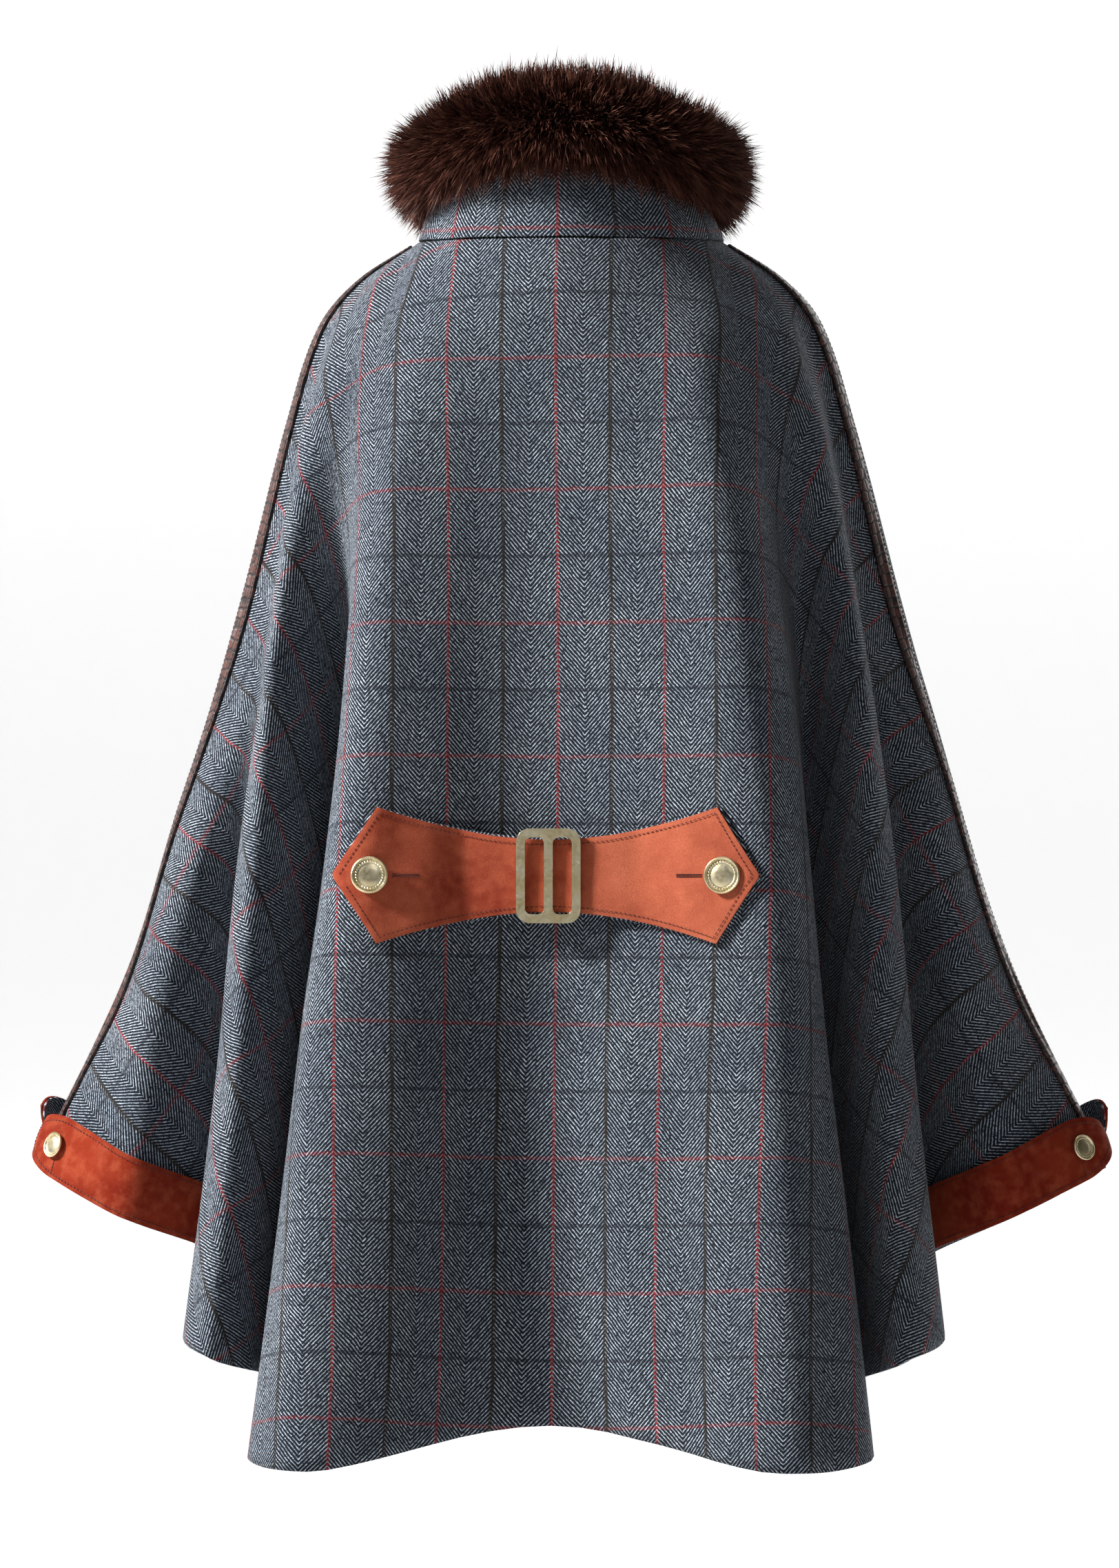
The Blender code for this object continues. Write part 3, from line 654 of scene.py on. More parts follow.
for label, side in SIDES:

    def front_place(i, share):
        if i > 2:
            return (i - 2) / (FRONT_COLUMNS - 2) * OVERARM
        return -0.1 * LAP / draped(True, 0.1, share).x * (2 - i) / 2

    def front_at(i, j):
        share = row_share(j, FRONT_ROWS)
        return (*lapped(side, front_place(i, share), share), (0.0, 0.0))

    front = laid_grid("front_cloth_" + label, FRONT_COLUMNS, FRONT_ROWS, front_at, TWEED)
    at = panel_columns(FRONT_COLUMNS, FRONT_ROWS)
    weave_map(front, -side * np.maximum(0, (at - 2) / (FRONT_COLUMNS - 2) * OVERARM), at == 2)
    thicken(front, TWEED_WALL)
    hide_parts("front_" + label)

# Collar
# A stand collar of the same tweed, sewn to the neck seam and open at the centre front, with the
# check's red stripe carried on up its centre back.
COLLAR_TOP_HALF_WIDTH = 0.083
COLLAR_TOP_BACK = 0.074
COLLAR_TOP_FRONT = 0.068
COLLAR_HEIGHT_BACK = 0.072
COLLAR_HEIGHT_SIDE = 0.046
COLLAR_HEIGHT_FRONT = 0.062
COLLAR_WALL = 0.0030
COLLAR_COLUMNS = 168
COLLAR_ROWS = 20


def collar_point(angle, share):
    """(point, unit vector up the collar, unit vector out of it) round from the centre back."""
    back_share = cos(angle)
    front = back_share < 0
    low = neck_point(degrees(pi - angle if front else angle), front)
    if front:
        height = COLLAR_HEIGHT_SIDE + (COLLAR_HEIGHT_FRONT - COLLAR_HEIGHT_SIDE) * back_share**2
        depth = COLLAR_TOP_FRONT
    else:
        height = COLLAR_HEIGHT_SIDE + (COLLAR_HEIGHT_BACK - COLLAR_HEIGHT_SIDE) * back_share**2
        depth = COLLAR_TOP_BACK
    low.z += 0.0015
    top = Vector((COLLAR_TOP_HALF_WIDTH * sin(angle), -depth * back_share, low.z + height))
    round_it = Vector((COLLAR_TOP_HALF_WIDTH * cos(angle), depth * sin(angle), 0.0))
    up = (top - low).normalized()
    return low.lerp(top, share), up, round_it.cross(up).normalized()


COLLAR_OPENING = 0.006
collar_turn = 2 * pi - 2 * COLLAR_OPENING
collar_angles = [
    -pi + COLLAR_OPENING + collar_turn * i / COLLAR_COLUMNS for i in range(COLLAR_COLUMNS + 1)
]
collar_run = run_lengths([collar_point(angle, 0.3)[0] for angle in collar_angles])


def collar_at(i, j):
    share = j / COLLAR_ROWS
    point, up, out = collar_point(collar_angles[i], share)
    swell = 0.0012 * sin(pi * share) + 0.0007 * sin(9 * collar_angles[i] + 4 * share)
    height = (collar_point(collar_angles[i], 1.0)[0] - collar_point(collar_angles[i], 0.0)[0]).length
    return point + out * swell, out, (collar_run[i] - collar_run[-1] / 2, share * height)


collar = laid_grid("collar_stand", COLLAR_COLUMNS, COLLAR_ROWS, collar_at, TWEED)
thicken(collar, COLLAR_WALL, 0.0006)
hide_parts("collar")

# Fur trim
# A thick band of dark brown fur caps the collar's top edge. The pelt is a soft ring; its hair
# stands away from it in small locks, darker at the root, and hangs a little at the lower edge.
FUR_OUT = 0.046
FUR_UP = 0.047
FUR_IN = 0.022
FUR_DROOP_BACK = 0.037
FUR_DROOP_SIDE = 0.043
PELT_SHARE = 0.60
HAIRS_A_PIECE = 36000
FUR_PIECES = 3
PELT_COLUMNS = 120
PELT_ROWS = 20
ring_angles = np.linspace(-pi, pi, 721)
ring_points = [collar_point(angle, 1.0) for angle in ring_angles]
ring_frames = np.array([[*top, *up, *out] for top, up, out in ring_points])


def fur_places(angles, turns, shares):
    """Points of the fur ring: round the neck by angle, round the band by turn, in degrees from
    straight out, and out from its middle by share."""
    frames = np.stack([np.interp(angles, ring_angles, column) for column in ring_frames.T], 1)
    top, up, out = frames[:, 0:3], frames[:, 3:6], frames[:, 6:9]
    droop = FUR_DROOP_BACK + (FUR_DROOP_SIDE - FUR_DROOP_BACK) * np.sin(angles) ** 2
    c, s = np.cos(np.radians(turns)), np.sin(np.radians(turns))
    reach = np.where(c > 0, FUR_OUT, FUR_IN + COLLAR_WALL) * shares * c + 0.001
    height = np.where(s > 0, FUR_UP * (1 + 0.13 * np.sin(2 * angles) ** 2), droop) * shares * s + 0.001
    return top + out * reach[:, None] + up * height[:, None]


def pelt_at(i, j):
    angle = -pi + 0.02 + (2 * pi - 0.04) * i / PELT_COLUMNS
    turn = -78 + 262 * j / PELT_ROWS
    middle, point = fur_places(np.full(2, angle), np.full(2, turn), np.array((0.2, PELT_SHARE)))
    return Vector(point), Vector(point - middle).normalized(), (i / PELT_COLUMNS, j / PELT_ROWS)


pelt_hide = Finish("fur_pelt", 0.95)
pelt_hide.set("Base Color", (0.012, 0.006, 0.004))
pelt = laid_grid("fur_pelt", PELT_COLUMNS, PELT_ROWS, pelt_at, pelt_hide.material)
thicken(pelt, 0.002)
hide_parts("fur_trim")

fur = Finish("dark_brown_fur", 0.55)
lock, along, _ = fur.parts(fur.uv("hair"))
hair_tone = fur.mix(along.step(0.25, 1.0), (0.006, 0.0018, 0.0012), (0.080, 0.023, 0.014))
hair_tone = fur.mix(lock.step(0.72, 0.98) * along * 0.7, hair_tone, (0.25, 0.10, 0.062))
fur.set("Base Color", hair_tone)
fur.set("Specular IOR Level", 0.25)
rng = np.random.default_rng(7)


def hair_blade():
    """One tapered hair: its points as (across, along, 0), and its faces."""
    body = bmesh.new()
    bmesh.ops.create_grid(body, x_segments=1, y_segments=3, size=1.0)
    for vert in body.verts:
        row = round((vert.co.y + 1) / 2 * 3)
        vert.co = (vert.co.x * (1.0, 0.9, 0.55, 0.0)[row], (0.0, 0.38, 0.75, 1.0)[row], 0.0)
    bmesh.ops.remove_doubles(body, verts=body.verts, dist=1e-4)
    return form_of(body)


BLADE, BLADE_FACES = hair_blade()


def unit(rows):
    return rows / np.linalg.norm(rows, axis=1, keepdims=True)


def hair_piece(name, count):
    """Many hairs in one mesh: copies of the blade, gathered towards the middles of small locks."""
    angles = rng.uniform(-pi + 0.03, pi - 0.03, count)
    turns = -80 + 250 * rng.uniform(0, 1, count)
    lock_angle = (np.floor(angles / 0.075) + 0.5) * 0.075
    lock_turn = (np.floor(turns / 13.0) + 0.5) * 13.0
    jitter = np.sin(lock_angle * 977.0 + lock_turn * 53.0)
    lock_angle = lock_angle + 0.022 * jitter
    lock_turn = lock_turn + 5.0 * np.sin(lock_angle * 411.0 + lock_turn * 17.0)
    reach = 0.76 + 0.34 * rng.uniform(0, 1, count) ** 1.6 + 0.05 * jitter
    pull = rng.uniform(0.25, 0.62, count)
    root = fur_places(angles, turns, np.full(count, PELT_SHARE * 0.93))
    tip = fur_places(angles + (lock_angle - angles) * pull, turns + (lock_turn - turns) * pull, reach)
    lean = rng.normal(0, 0.0030, (count, 3)) - (0, 0, 0.0035)
    bend = (root + tip) / 2 + lean * 0.3 + (0, 0, 0.0020)
    tip = tip + lean
    wide = unit(np.cross(unit(tip - root), rng.normal(0, 1, (count, 3))))
    wide = wide * rng.uniform(0.00028, 0.00048, (count, 1))
    along = BLADE[None, :, 1, None]
    curve = root[:, None] * (1 - along) ** 2 + bend[:, None] * 2 * along * (1 - along)
    curve = curve + tip[:, None] * along**2
    points = (curve + wide[:, None] * BLADE[None, :, 0, None]).reshape(-1, 3)
    size = len(BLADE)
    piece = copies(name, points, BLADE_FACES, size, fur.material)
    mesh = piece.data
    layer = mesh.uv_layers.new(name="hair")
    loops = np.zeros(len(mesh.loops), int)
    mesh.loops.foreach_get("vertex_index", loops)
    tone = np.clip(0.5 + 0.3 * jitter + rng.uniform(-0.35, 0.5, count), 0, 1)
    layer.data.foreach_set("uv", np.stack((tone[loops // size], BLADE[loops % size, 1]), 1).ravel())
    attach(piece, "root")


for number in range(FUR_PIECES):
    hair_piece("fur_hair_" + str(number + 1), HAIRS_A_PIECE)

# Sewing
# Every edge of the suede and leather is sewn down with a row of short stitches, which are drawn
# from one small thread loop laid along the edge.


def thread(name, colour):
    made = Finish(name, 0.7)
    made.set("Base Color", colour)
    return made.material


RUST_THREAD = thread("rust_thread", (0.085, 0.010, 0.006))
DARK_THREAD = thread("dark_thread", (0.02, 0.012, 0.010))


def stitch_row(name, path, pitch, length, radius, finish):
    """Stitches along a path of (point, normal), each a slim loop half sunk in what it holds."""
    body = bmesh.new()
    bmesh.ops.create_uvsphere(body, u_segments=6, v_segments=4, radius=1.0)
    loop, faces = form_of(body)
    steps = run_lengths([point for point, _ in path])
    points = []
    k = 0
    for n in range(int(steps[-1] / pitch)):
        at = (n + 0.5) * pitch
        while steps[k + 1] < at:
            k += 1
        share = (at - steps[k]) / max(steps[k + 1] - steps[k], 1e-9)
        point = path[k][0].lerp(path[k + 1][0], share)
        out = path[k][1].lerp(path[k + 1][1], share).normalized()
        run = (path[k + 1][0] - path[k][0]).normalized()
        across = out.cross(run).normalized()
        turn = np.array((across * radius, out * radius * 0.8, run * length / 2))
        points.append(loop @ turn + np.array(point + out * radius * 0.25))
    piece = copies(name, np.concatenate(points), faces, len(loop), finish)
    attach(piece, "root")


# Arm strips
# A strip of brown leather, embossed in scales, covers the seam from the neck over the shoulder
# and down the arm. It is sewn down along both edges in dark thread.
TRIM_WIDTH = 0.013
TRIM_WALL = 0.0012
TRIM_CLEAR = 0.0012
leather = Finish("brown_embossed_leather", 0.42)
hide_uv = leather.uv("weave")
scales = {"Vector": leather.stretched(hide_uv, (210.0, 135.0, 1.0)), "Scale": 1.0, "Randomness": 0.45}
cracks = leather.reading("TexVoronoi", {"feature": "DISTANCE_TO_EDGE"}, scales)
scale_top = cracks.step(0.02, 0.20)
grain = leather.noise(hide_uv, 1500.0, 2.0)
worn = leather.noise(hide_uv, 60.0, 2.0)
scale_tone = leather.mix(worn.step(0.3, 0.7), (0.050, 0.018, 0.014), (0.115, 0.045, 0.034))
leather.set("Base Color", leather.mix(scale_top, (0.008, 0.004, 0.004), scale_tone))
leather.set("Roughness", 0.62 - scale_top * 0.22 + (grain - 0.5) * 0.1)
leather.bump(scale_top + grain * 0.12, 0.0006, 0.8)
LEATHER = leather.material


@lru_cache(maxsize=None)
def seam_stride(front, share):
    return (draped(front, OVERARM, share) - draped(front, OVERARM - 0.05, share)).length / 0.05


def seam_sample(side, distance, share):
    """(point, normal) of the cloth that far from the overarm seam: onto the back if negative."""
    front = distance > 0
    return surface(side, front, OVERARM - abs(distance) / seam_stride(front, share), share)


TRIM_ROWS = 220
TRIM_COLUMNS = 10
TRIM_SEWN_AT = 0.0051


def strip_lift(share, extra):
    """How far the strip's face stands off the cloth: it is tucked into the neck seam."""
    return (TRIM_CLEAR + TRIM_WALL) * min(1.0, 0.45 + 0.55 * share / 0.06) + extra


for label, side in SIDES:
    shares = [0.004 + (0.992 - 0.004) * (k / TRIM_ROWS) ** 1.15 for k in range(TRIM_ROWS + 1)]
    runs = run_lengths([draped(True, OVERARM, share) for share in shares])

    def trim_at(i, j):
        across = (i / TRIM_COLUMNS - 0.5) * TRIM_WIDTH
        k = TRIM_ROWS - j
        point, normal = seam_sample(side, across, shares[k])
        lift = strip_lift(shares[k], 0.0005 * (1 - (2 * i / TRIM_COLUMNS - 1) ** 4))
        return point + normal * lift, normal, (across, -runs[k])

    trim = laid_grid("arm_strip_" + label, TRIM_COLUMNS, TRIM_ROWS, trim_at, LEATHER)
    thicken(trim, TRIM_WALL + TRIM_CLEAR - 0.0001, 0.0003)
    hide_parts("arm_trim_" + label)
    for row, across in (("back", -TRIM_SEWN_AT), ("front", TRIM_SEWN_AT)):
        path = []
        for share in shares:
            point, normal = seam_sample(side, across, share)
            path.append((point + normal * strip_lift(share, 0.0003), normal))
        sewing = f"strip_sewing_{label}_{row}"
        stitch_row(sewing, path, 0.0034, 0.0026, 0.00035, DARK_THREAD)

# Cuffs
# The sleeve ends are turned back and faced with rust suede, which is sewn along its edges. Each
# has a rounded tab at the seam, held by a gilt button. The tweed shows inside the tabs.
CUFF_END = OVERARM - 1.85
CUFF_HEIGHT = 0.041
CUFF_FOLD = 0.0016
TAB_PAST_SEAM = 0.004
FRONT_TAB_SHORT = 0.006
FRONT_TAB_RISE = 0.016
TAB_ROUND = 0.033
CUFF_CLEAR = 0.0013
SUEDE_WALL = 0.0014
FACING_WALL = 0.0016
SEAM = 0.0003
CUFF_STEPS = 60
CUFF_COLUMNS = 44
CUFF_ROWS = 10
STITCH_INSET = 0.0032
suede = Finish("rust_suede", 0.95)
nap_at = suede.object_place()
nap_cloud = suede.noise(nap_at, 26.0, 3.0)
nap_brush = suede.noise(nap_at, 130.0, 3.0)
nap_fine = suede.noise(nap_at, 1700.0)
suede_colour = suede.mix(nap_cloud.step(0.30, 0.72), (0.17, 0.012, 0.004), (0.27, 0.031, 0.010))
suede_colour = suede.mix(nap_brush.step(0.35, 0.75) * 0.45, suede_colour, (0.43, 0.095, 0.042))
# On the belt the suede is mixed towards a lighter coral. One share covers the whole belt and varies in
# clouds. A further share on its right half (x above 0) is painted light, where that half faces the key
# light.
suede_x = suede.parts(nap_at)[0]
on_belt = suede_x.maths("ABSOLUTE").step(0.26, 0.20)
belt_coral_and_painted_light = on_belt * (0.30 + suede_x.step(0.008, 0.040) * 0.22 + (nap_cloud - 0.5) * 0.9)
suede_colour = suede.mix(belt_coral_and_painted_light, suede_colour, (0.62, 0.18, 0.095))
suede_colour = suede.mix(nap_fine.step(0.35, 0.7) * 0.4, suede_colour, (0.13, 0.012, 0.005))
suede.set("Base Color", suede_colour)
suede.set("Specular IOR Level", 0.12)
suede.set("Sheen Weight", 0.10)
suede.set("Sheen Roughness", 0.4)
suede.set("Sheen Tint", (1.0, 0.55, 0.35))
suede.bump(nap_fine + nap_brush * 0.8, 0.0004, 0.5)
SUEDE = suede.material


def cuff_frame(front):
    """The cuff's run along the sleeve's edge: places and distances from the tab's end."""
    past = -FRONT_TAB_SHORT if front else TAB_PAST_SEAM
    stride = seam_stride(front, 1.0)
    start = OVERARM + past / stride
    places = [start + (CUFF_END - start) * k / CUFF_STEPS for k in range(CUFF_STEPS + 1)]
    return places, run_lengths([draped(front, place, 1.0) for place in places])


def cuff_point(side, front, distance, share_up, lift, inset=0.0):
    """(point, normal) of the cuff at a distance from the tab's end and a share of its height."""
    places, runs = CUFF_FRAMES[front]
    k = max(0, min(CUFF_STEPS - 1, sum(1 for run in runs if run <= distance) - 1))
    within = (distance - runs[k]) / (runs[k + 1] - runs[k])
    place = places[k] + (places[k + 1] - places[k]) * within
    drop = draped(front, place, 1.0) - draped(front, place, 0.9)
    rounding = max(0.0, 1.0 - (distance - inset) / TAB_ROUND)
    half = max(0.5 * sqrt(max(0.0, 1.0 - rounding**2)), 0.03)
    full = CUFF_HEIGHT + CUFF_FOLD
    height = -CUFF_FOLD + full * (0.5 + (half - inset / full) * (2 * share_up - 1))
    if front:
        height += FRONT_TAB_RISE * max(0.0, 1.0 - distance / 0.060) ** 2
    share = 1.0 - height / drop.length * 0.1
    point, normal = surface(side, front, place, min(share, 1.0))
    if share > 1.0:
        point += Vector((drop.x * side, drop.y, drop.z)) * (share - 1.0) / 0.1
    over_trim = clamped((0.024 - distance) / 0.012)
    clear = CUFF_CLEAR + (SEAM * 6 + TRIM_WALL - CUFF_CLEAR) * over_trim
    end = 0.015 if front else 0.005
    stand = end * max(0.0, 1.0 - distance / 0.070) ** 2 * (0.35 + 0.65 * max(height, 0) / CUFF_HEIGHT)
    return point + normal * (clear + stand + lift), normal


CUFF_FRAMES = {front: cuff_frame(front) for front in (False, True)}
# A gilt button's section: (share of its radius, share of its thickness)
GILT_PROFILE = (
    (0.0, 0.86), (0.30, 0.84), (0.52, 0.76), (0.62, 0.64), (0.66, 0.62), (0.70, 0.70),
    (0.74, 0.72), (0.78, 0.66), (0.82, 0.66), (0.88, 0.96), (0.93, 1.00), (0.98, 0.90),
    (1.00, 0.72), (0.98, 0.52), (0.90, 0.42), (0.24, 0.36), (0.22, 0.0), (0.0, 0.0),
)
CUFF_BUTTON = 0.018
BIG_BUTTON = 0.0254
BUTTON_THICK = 0.15
BUTTON_STEPS = 48
BEADS = 30
gilt = Finish("pale_gilt", 0.30)
gilt_at = gilt.object_place()
cast = gilt.noise(gilt_at, 420.0, 3.0)
rub = gilt.noise(gilt_at, 90.0)
gilt.set("Base Color", gilt.mix(rub.step(0.3, 0.75), (0.70, 0.58, 0.33), (0.86, 0.78, 0.56)))
gilt.set("Metallic", 1.0)
gilt.set("Roughness", 0.24 + cast * 0.22)
gilt.bump(cast, 0.0002, 0.35)
GILT = gilt.material


def gilt_button(name, node, diameter, place, normal):
    """A cast button: a low dome, a fine ring of beads and a raised rim."""
    radius, thick = diameter / 2, diameter * BUTTON_THICK
    body = bmesh.new()
    ring = [body.verts.new((r * radius, 0.0, h * thick)) for r, h in GILT_PROFILE]
    lines = [body.edges.new(pair) for pair in zip(ring, ring[1:])]
    full = {"axis": (0, 0, 1), "cent": (0, 0, 0), "angle": 2 * pi, "steps": BUTTON_STEPS}
    bmesh.ops.spin(body, geom=ring + lines, use_merge=True, **full)
    bmesh.ops.remove_doubles(body, verts=body.verts, dist=1e-5)
    bmesh.ops.recalc_face_normals(body, faces=body.faces)
    first = Matrix.Translation((radius * 0.72, 0, thick * 0.70))
    for k in range(BEADS):
        bead = Matrix.Rotation(2 * pi * k / BEADS, 4, "Z") @ first
        bmesh.ops.create_icosphere(body, subdivisions=1, radius=radius * 0.058, matrix=bead)
    turn = normal.to_track_quat("Z", "Y").to_matrix().to_4x4()
    body.transform(Matrix.Translation(place) @ turn)
    piece = linked(name, mesh_from(name, body), GILT)
    piece.data.set_sharp_from_angle(angle=radians(40))
    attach(piece, "root")
    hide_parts(node)


def node_seat(node, normal, thick):
    """Where a button's back rests, from its solid."""
    low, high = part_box(node)
    return (low + high) / 2 - normal * thick / 2


for label, side in SIDES:
    for part, front in (("front", True), ("back", False)):
        length = CUFF_FRAMES[front][1][-1]

        def cuff_at(is_suede):
            def at(i, j):
                distance = length * (i / CUFF_COLUMNS) ** 1.5
                up = j / CUFF_ROWS
                lift = FACING_WALL
                if is_suede:
                    puff = 0.0007 * sin(pi * up)
                    wave = 0.0005 * sin(distance * 130 + (2.0 if front else 0.5) + side)
                    lift += SEAM + SUEDE_WALL + puff + wave
                point, normal = cuff_point(side, front, distance, up, lift)
                return point, normal, (distance * side, up * CUFF_HEIGHT)

            return at

        name = f"cuff_cloth_{label}_{part}"
        facing = laid_grid(name, CUFF_COLUMNS, CUFF_ROWS, cuff_at(False), TWEED)
        thicken(facing, FACING_WALL)
        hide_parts(f"cuff_tweed_{label}_{part}")
        name = f"cuff_face_{label}_{part}"
        suede_face = laid_grid(name, CUFF_COLUMNS, CUFF_ROWS, cuff_at(True), SUEDE)
        thicken(suede_face, SUEDE_WALL, 0.0005)
        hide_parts(f"cuff_suede_{label}_{part}")
        lift = FACING_WALL + SEAM + SUEDE_WALL + 0.0008
        sewn = [0.004 + (length - 0.004) * k / CUFF_STEPS for k in range(CUFF_STEPS + 1)]
        stops = [(distance, 1.0) for distance in reversed(sewn)]
        stops += [(0.0034, 1.0 - k / 8) for k in range(1, 8)]
        stops += [(distance, 0.0) for distance in sewn]
        path = [cuff_point(side, front, *stop, lift, STITCH_INSET) for stop in stops]
        name = f"cuff_sewing_{label}_{part}"
        stitch_row(name, path, 0.0032, 0.0024, 0.00042, RUST_THREAD)
    _, normal = cuff_point(side, False, 0.030, 0.5, 0.0)
    seat = node_seat(f"cuff_button_{label}", normal, CUFF_BUTTON * BUTTON_THICK)
    gilt_button("cuff_stud_" + label, "cuff_button_" + label, CUFF_BUTTON, seat, normal)
    lift = FACING_WALL + SEAM + SUEDE_WALL + 0.0004
    dart = [cuff_point(side, False, 0.033 + 0.002 * k / 6, 0.30 - 0.30 * k / 6, lift) for k in range(7)]
    stitch_row("cuff_dart_" + label, dart, 0.0022, 0.0022, 0.00032, RUST_THREAD)

# Half belt
# A shaped half belt of rust suede, backed with tweed, lies across the waist. It is buttoned down
# at both pointed ends through worked buttonholes, and carries a plain gilt slide at the middle.
BELT_HEIGHT = -0.433
BELT_TIP = 0.143
BELT_CORNER = 0.116
BELT_MID_HALF = 0.0245
BELT_END_HALF = 0.0460
BELT_TIP_HALF = 0.0015
BELT_MARGIN = 0.0012
BELT_CLEAR = 0.0012
BELT_BRIDGE = 0.062
BELT_BUTTON_X = 0.1205
BELT_ROWS = 12


@lru_cache(maxsize=None)
def on_back(x, z):
    """(point, normal) of the back's outer face, as seen from behind."""
    side = 1 if x >= 0 else -1
    place, share = 1.0, 0.5
    for _ in range(8):
        point, normal = surface(side, False, place, share)
        wide, _ = surface(side, False, place + 0.01, share)
        deep, _ = surface(side, False, place, share + 0.005)
        place += (abs(x) - abs(point.x)) / max(abs(wide.x) - abs(point.x), 1e-5) * 0.01
        share += (z - point.z) / min(deep.z - point.z, -1e-5) * 0.005
        place = max(0.0, min(2.2, place))
        share = max(0.05, min(0.97, share))
    return point, normal


def under_belt(x, z):
    """(point, normal) of the form the belt lies on: the back, with its middle hollow bridged."""
    x, z = round(x, 6), round(z, 6)
    point, normal = (v.copy() for v in on_back(x, z))
    if abs(x) < BELT_BRIDGE:
        left, right = on_back(-BELT_BRIDGE, z)[0], on_back(BELT_BRIDGE, z)[0]
        chord = left.lerp(right, (x + BELT_BRIDGE) / (2 * BELT_BRIDGE))
        flat = Vector((right.y - left.y, -2 * BELT_BRIDGE, 0.0)).normalized()
        normal = normal.lerp(flat, min(1.0, (BELT_BRIDGE - abs(x)) / 0.02)).normalized()
        point.y = min(point.y, chord.y)
    return point, normal


def belt_half_height(x):
    x = abs(x)
    if x <= BELT_CORNER:
        return BELT_MID_HALF + (BELT_END_HALF - BELT_MID_HALF) * (x / BELT_CORNER) ** 1.9
    share = (x - BELT_CORNER) / (BELT_TIP - BELT_CORNER)
    return BELT_END_HALF + (BELT_TIP_HALF - BELT_END_HALF) * share


half_xs = [BELT_CORNER * k / 22 for k in range(23)]
half_xs += [BELT_CORNER + (BELT_TIP - BELT_CORNER) * k / 8 for k in range(1, 9)]
belt_xs = [-x for x in reversed(half_xs[1:])] + half_xs


def belt_at(margin, lift, puff):
    def at(i, j):
        x = belt_xs[i]
        up = 2 * j / BELT_ROWS - 1
        height = (belt_half_height(x) + margin) * up
        point, normal = under_belt(x * (BELT_TIP + margin) / BELT_TIP, BELT_HEIGHT + height)
        edge = min(1.0, (1 - abs(up)) * 3, (BELT_TIP - abs(x)) / 0.02)
        swell = puff * (0.3 + 0.7 * edge + 0.25 * sin(x * 70) * sin(height * 90 + 1))
        return point + normal * (lift + swell), normal, (x, height)

    return at


belt_columns = len(belt_xs) - 1
cloth_at = belt_at(BELT_MARGIN, BELT_CLEAR + FACING_WALL, 0.0)
belt_cloth = laid_grid("belt_cloth", belt_columns, BELT_ROWS, cloth_at, TWEED)
thicken(belt_cloth, FACING_WALL)
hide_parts("belt_backing")
BELT_TOP = BELT_CLEAR + FACING_WALL + SEAM + SUEDE_WALL
belt_face = laid_grid("belt_face", belt_columns, BELT_ROWS, belt_at(0.0, BELT_TOP, 0.0009), SUEDE)
thicken(belt_face, SUEDE_WALL, 0.0005)
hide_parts("belt_suede")


def belt_path(inset):
    outline = [(x, belt_half_height(x) - inset) for x in belt_xs if abs(x) < BELT_CORNER - inset / 2]
    corner = (BELT_CORNER - inset * 0.45, BELT_END_HALF - inset)
    tip = (BELT_TIP - inset * 1.15, 0.0)
    top = [(-corner[0], corner[1])] + outline + [corner]
    ring = [(-tip[0], 0.0)] + top + [tip] + [(x, -z) for x, z in reversed(top)] + [(-tip[0], 0.0)]
    path = []
    for (x0, z0), (x1, z1) in zip(ring, ring[1:]):
        count = max(1, int(hypot(x1 - x0, z1 - z0) / 0.006))
        for k in range(count):
            x, z = x0 + (x1 - x0) * k / count, z0 + (z1 - z0) * k / count
            point, normal = under_belt(x, BELT_HEIGHT + z)
            path.append((point + normal * (BELT_TOP + 0.0010), normal))
    return path


stitch_row("belt_sewing", belt_path(0.0036), 0.0032, 0.0024, 0.00038, RUST_THREAD)
for label, sign in SIDES:
    point, normal = under_belt(sign * BELT_BUTTON_X, BELT_HEIGHT)
    seat = point + normal * (BELT_TOP + 0.0012)
    gilt_button("belt_stud_" + label, "belt_button_" + label, BIG_BUTTON, seat, normal)
    for edge, row in (("lower", -1), ("upper", 1)):
        slot_path = []
        for k in range(19):
            x = sign * (BELT_BUTTON_X - 0.014 - 0.018 * k / 18)
            point, normal = under_belt(x, BELT_HEIGHT + row * 0.0007)
            slot_path.append((point + normal * (BELT_TOP + 0.0012), normal))
        stitch_row(f"buttonhole_{label}_{edge}", slot_path, 0.0009, 0.0009, 0.00055, RUST_THREAD)

# Slide
# A cast gilt slide with a middle bar, its edges softened by polishing. It is threaded on the belt.
slide_body = bmesh.new()
slide_body.from_mesh(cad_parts["buckle"].data)
bmesh.ops.remove_doubles(slide_body, verts=slide_body.verts, dist=1e-5)
bmesh.ops.dissolve_limit(slide_body, angle_limit=radians(1), verts=slide_body.verts, edges=slide_body.edges)
slide = linked("belt_slide", mesh_from("belt_slide", slide_body), GILT)
slide.data.set_sharp_from_angle(angle=radians(40))
rounded = slide.modifiers.new("polished_edge", "BEVEL")
rounded.width = 0.0010
rounded.segments = 3
rounded.limit_method = "ANGLE"
rounded.angle_limit = radians(60)
rounded.harden_normals = True
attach(slide, "root")
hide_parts("buckle")

# Front buttons
# Four cast buttons of the belt's size close the fronts.
FRONT_BUTTON_THICK = 0.0038
for number in range(1, 5):
    node = "front_button_" + str(number)
    low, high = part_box(node)
    middle = (low + high) / 2
    top, bottom = draped(True, 0.0, 0.0).z, draped(True, 0.0, 1.0).z
    _, normal = surface(1, True, 0.0, (middle.z - top) / (bottom - top))
    seat = node_seat(node, normal, FRONT_BUTTON_THICK)
    gilt_button("front_stud_" + str(number), node, BIG_BUTTON, seat, normal)

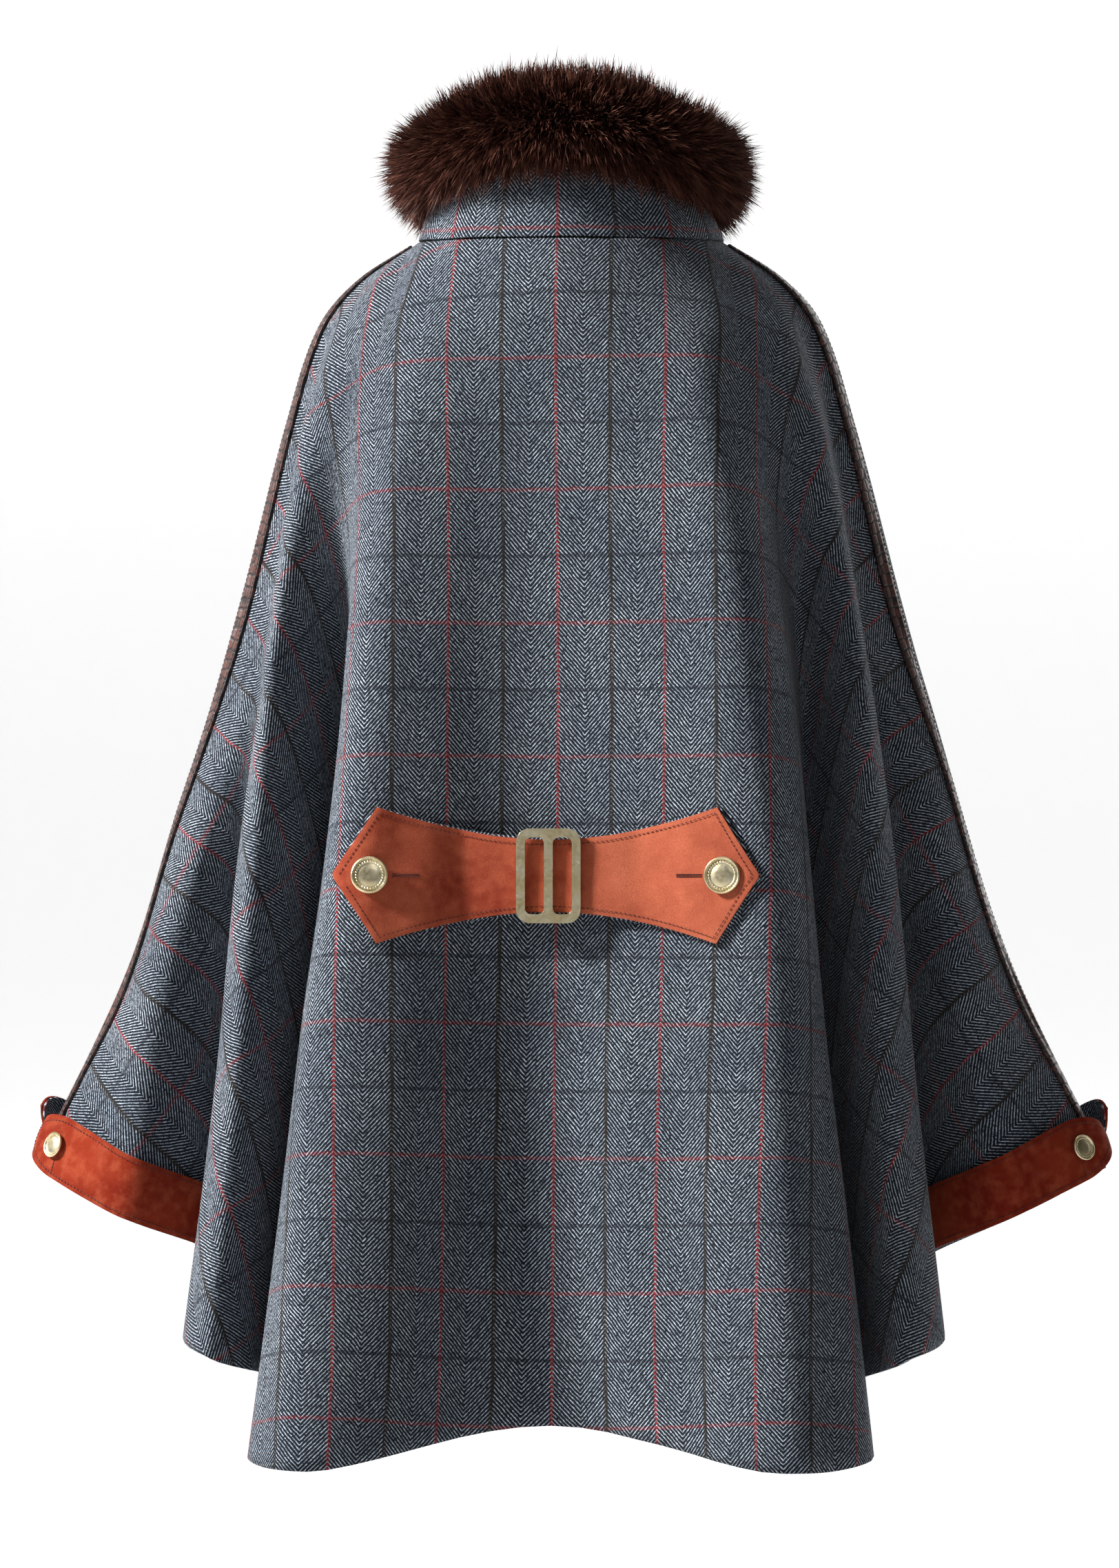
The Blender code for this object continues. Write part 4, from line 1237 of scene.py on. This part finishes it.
# Studio
# A pale floor that sweeps up far behind, a soft key light from the left and weaker ones round
# about, and a long lens a little to the right of the centre back.
FLOOR_Z = -1.15
FLOOR_FROM = -24.0
FLOOR_TO = 18.0
SWEEP_RADIUS = 2.0
WALL_HEIGHT = 36.0
HALF_WIDTH = 48.0


def points_of(geometry):
    return [part for part in geometry if isinstance(part, bmesh.types.BMVert)]


sweep_body = bmesh.new()
ends = [sweep_body.verts.new((x, FLOOR_FROM, FLOOR_Z)) for x in (-HALF_WIDTH, HALF_WIDTH)]
sweep_edge = sweep_body.edges.new(ends)
front_part = bmesh.ops.extrude_edge_only(sweep_body, edges=[sweep_edge])["geom"]
bmesh.ops.translate(sweep_body, verts=points_of(front_part), vec=(0, FLOOR_TO - FLOOR_FROM, 0))
edge = [g for g in front_part if isinstance(g, bmesh.types.BMEdge)]
hub = (0, FLOOR_TO, FLOOR_Z + SWEEP_RADIUS)
bmesh.ops.spin(sweep_body, geom=edge, cent=hub, axis=(1, 0, 0), angle=pi / 2, steps=24)
wall_y = FLOOR_TO + SWEEP_RADIUS
top_edge = [e for e in sweep_body.edges if all(abs(v.co.y - wall_y) < 1e-3 for v in e.verts)]
wall_part = bmesh.ops.extrude_edge_only(sweep_body, edges=top_edge)["geom"]
bmesh.ops.translate(sweep_body, verts=points_of(wall_part), vec=(0, 0, WALL_HEIGHT))
bmesh.ops.recalc_face_normals(sweep_body, faces=sweep_body.faces)
paper = Finish("studio_paper", 0.9)
behind = paper.parts(paper.object_place())[1].step(0.3, 2.0)
paper.set("Base Color", paper.mix(behind, (0.62, 0.62, 0.62), (0.93, 0.93, 0.93)))
paper.set("Emission Color", paper.mix(behind, (0.03, 0.03, 0.03), (1.0, 1.0, 1.0)))
paper.set("Emission Strength", 0.62)
sweep = linked("studio_sweep", mesh_from("studio_sweep", sweep_body), paper.material)


def soft_light(name, place, target, size, power):
    lamp = bpy.data.lights.new(name, "AREA")
    lamp.shape = "RECTANGLE"
    lamp.size, lamp.size_y = size
    lamp.energy = power
    held = bpy.data.objects.new(name, lamp)
    held.location = place
    held.rotation_euler = (Vector(target) - Vector(place)).to_track_quat("-Z", "Y").to_euler()
    bpy.context.scene.collection.objects.link(held)


soft_light("key", (-3.25, -1.35, 1.9), (0, 0, -0.3), (0.7, 0.7), 400)
soft_light("fill", (0.8, -3.6, 1.6), (0, 0, -0.35), (1.2, 1.2), 12)
soft_light("top", (0, 0.4, 2.6), (0, 0, -0.3), (1.4, 1.4), 14)
soft_light("front_side", (1.4, 3.0, 0.6), (0, 0, -0.4), (2.0, 2.0), 34)
world = bpy.data.worlds.new("studio")
world.use_nodes = True
world.node_tree.nodes["Background"].inputs[0].default_value = (1, 1, 1, 1)
world.node_tree.nodes["Background"].inputs[1].default_value = 0.05
bpy.context.scene.world = world
bpy.context.scene.view_settings.view_transform = "Standard"

CAMERA_TURN = radians(6)
CAMERA_DISTANCE = 9.0
VIEW_HEIGHT = 1.0756
camera = bpy.data.cameras.new("camera")
camera.sensor_fit = "VERTICAL"
camera.sensor_height = 36
camera.lens = 36 * CAMERA_DISTANCE / VIEW_HEIGHT
camera.clip_end = 60
holder = bpy.data.objects.new("camera", camera)
right = Vector((cos(CAMERA_TURN), sin(CAMERA_TURN), 0))
back_off = Vector((sin(CAMERA_TURN), -cos(CAMERA_TURN), 0))
aim = right * -0.0076 + Vector((0, 0, -0.371))
holder.location = aim + back_off * CAMERA_DISTANCE
holder.rotation_euler = (-back_off).to_track_quat("-Z", "Y").to_euler()
bpy.context.scene.collection.objects.link(holder)
bpy.context.scene.camera = holder
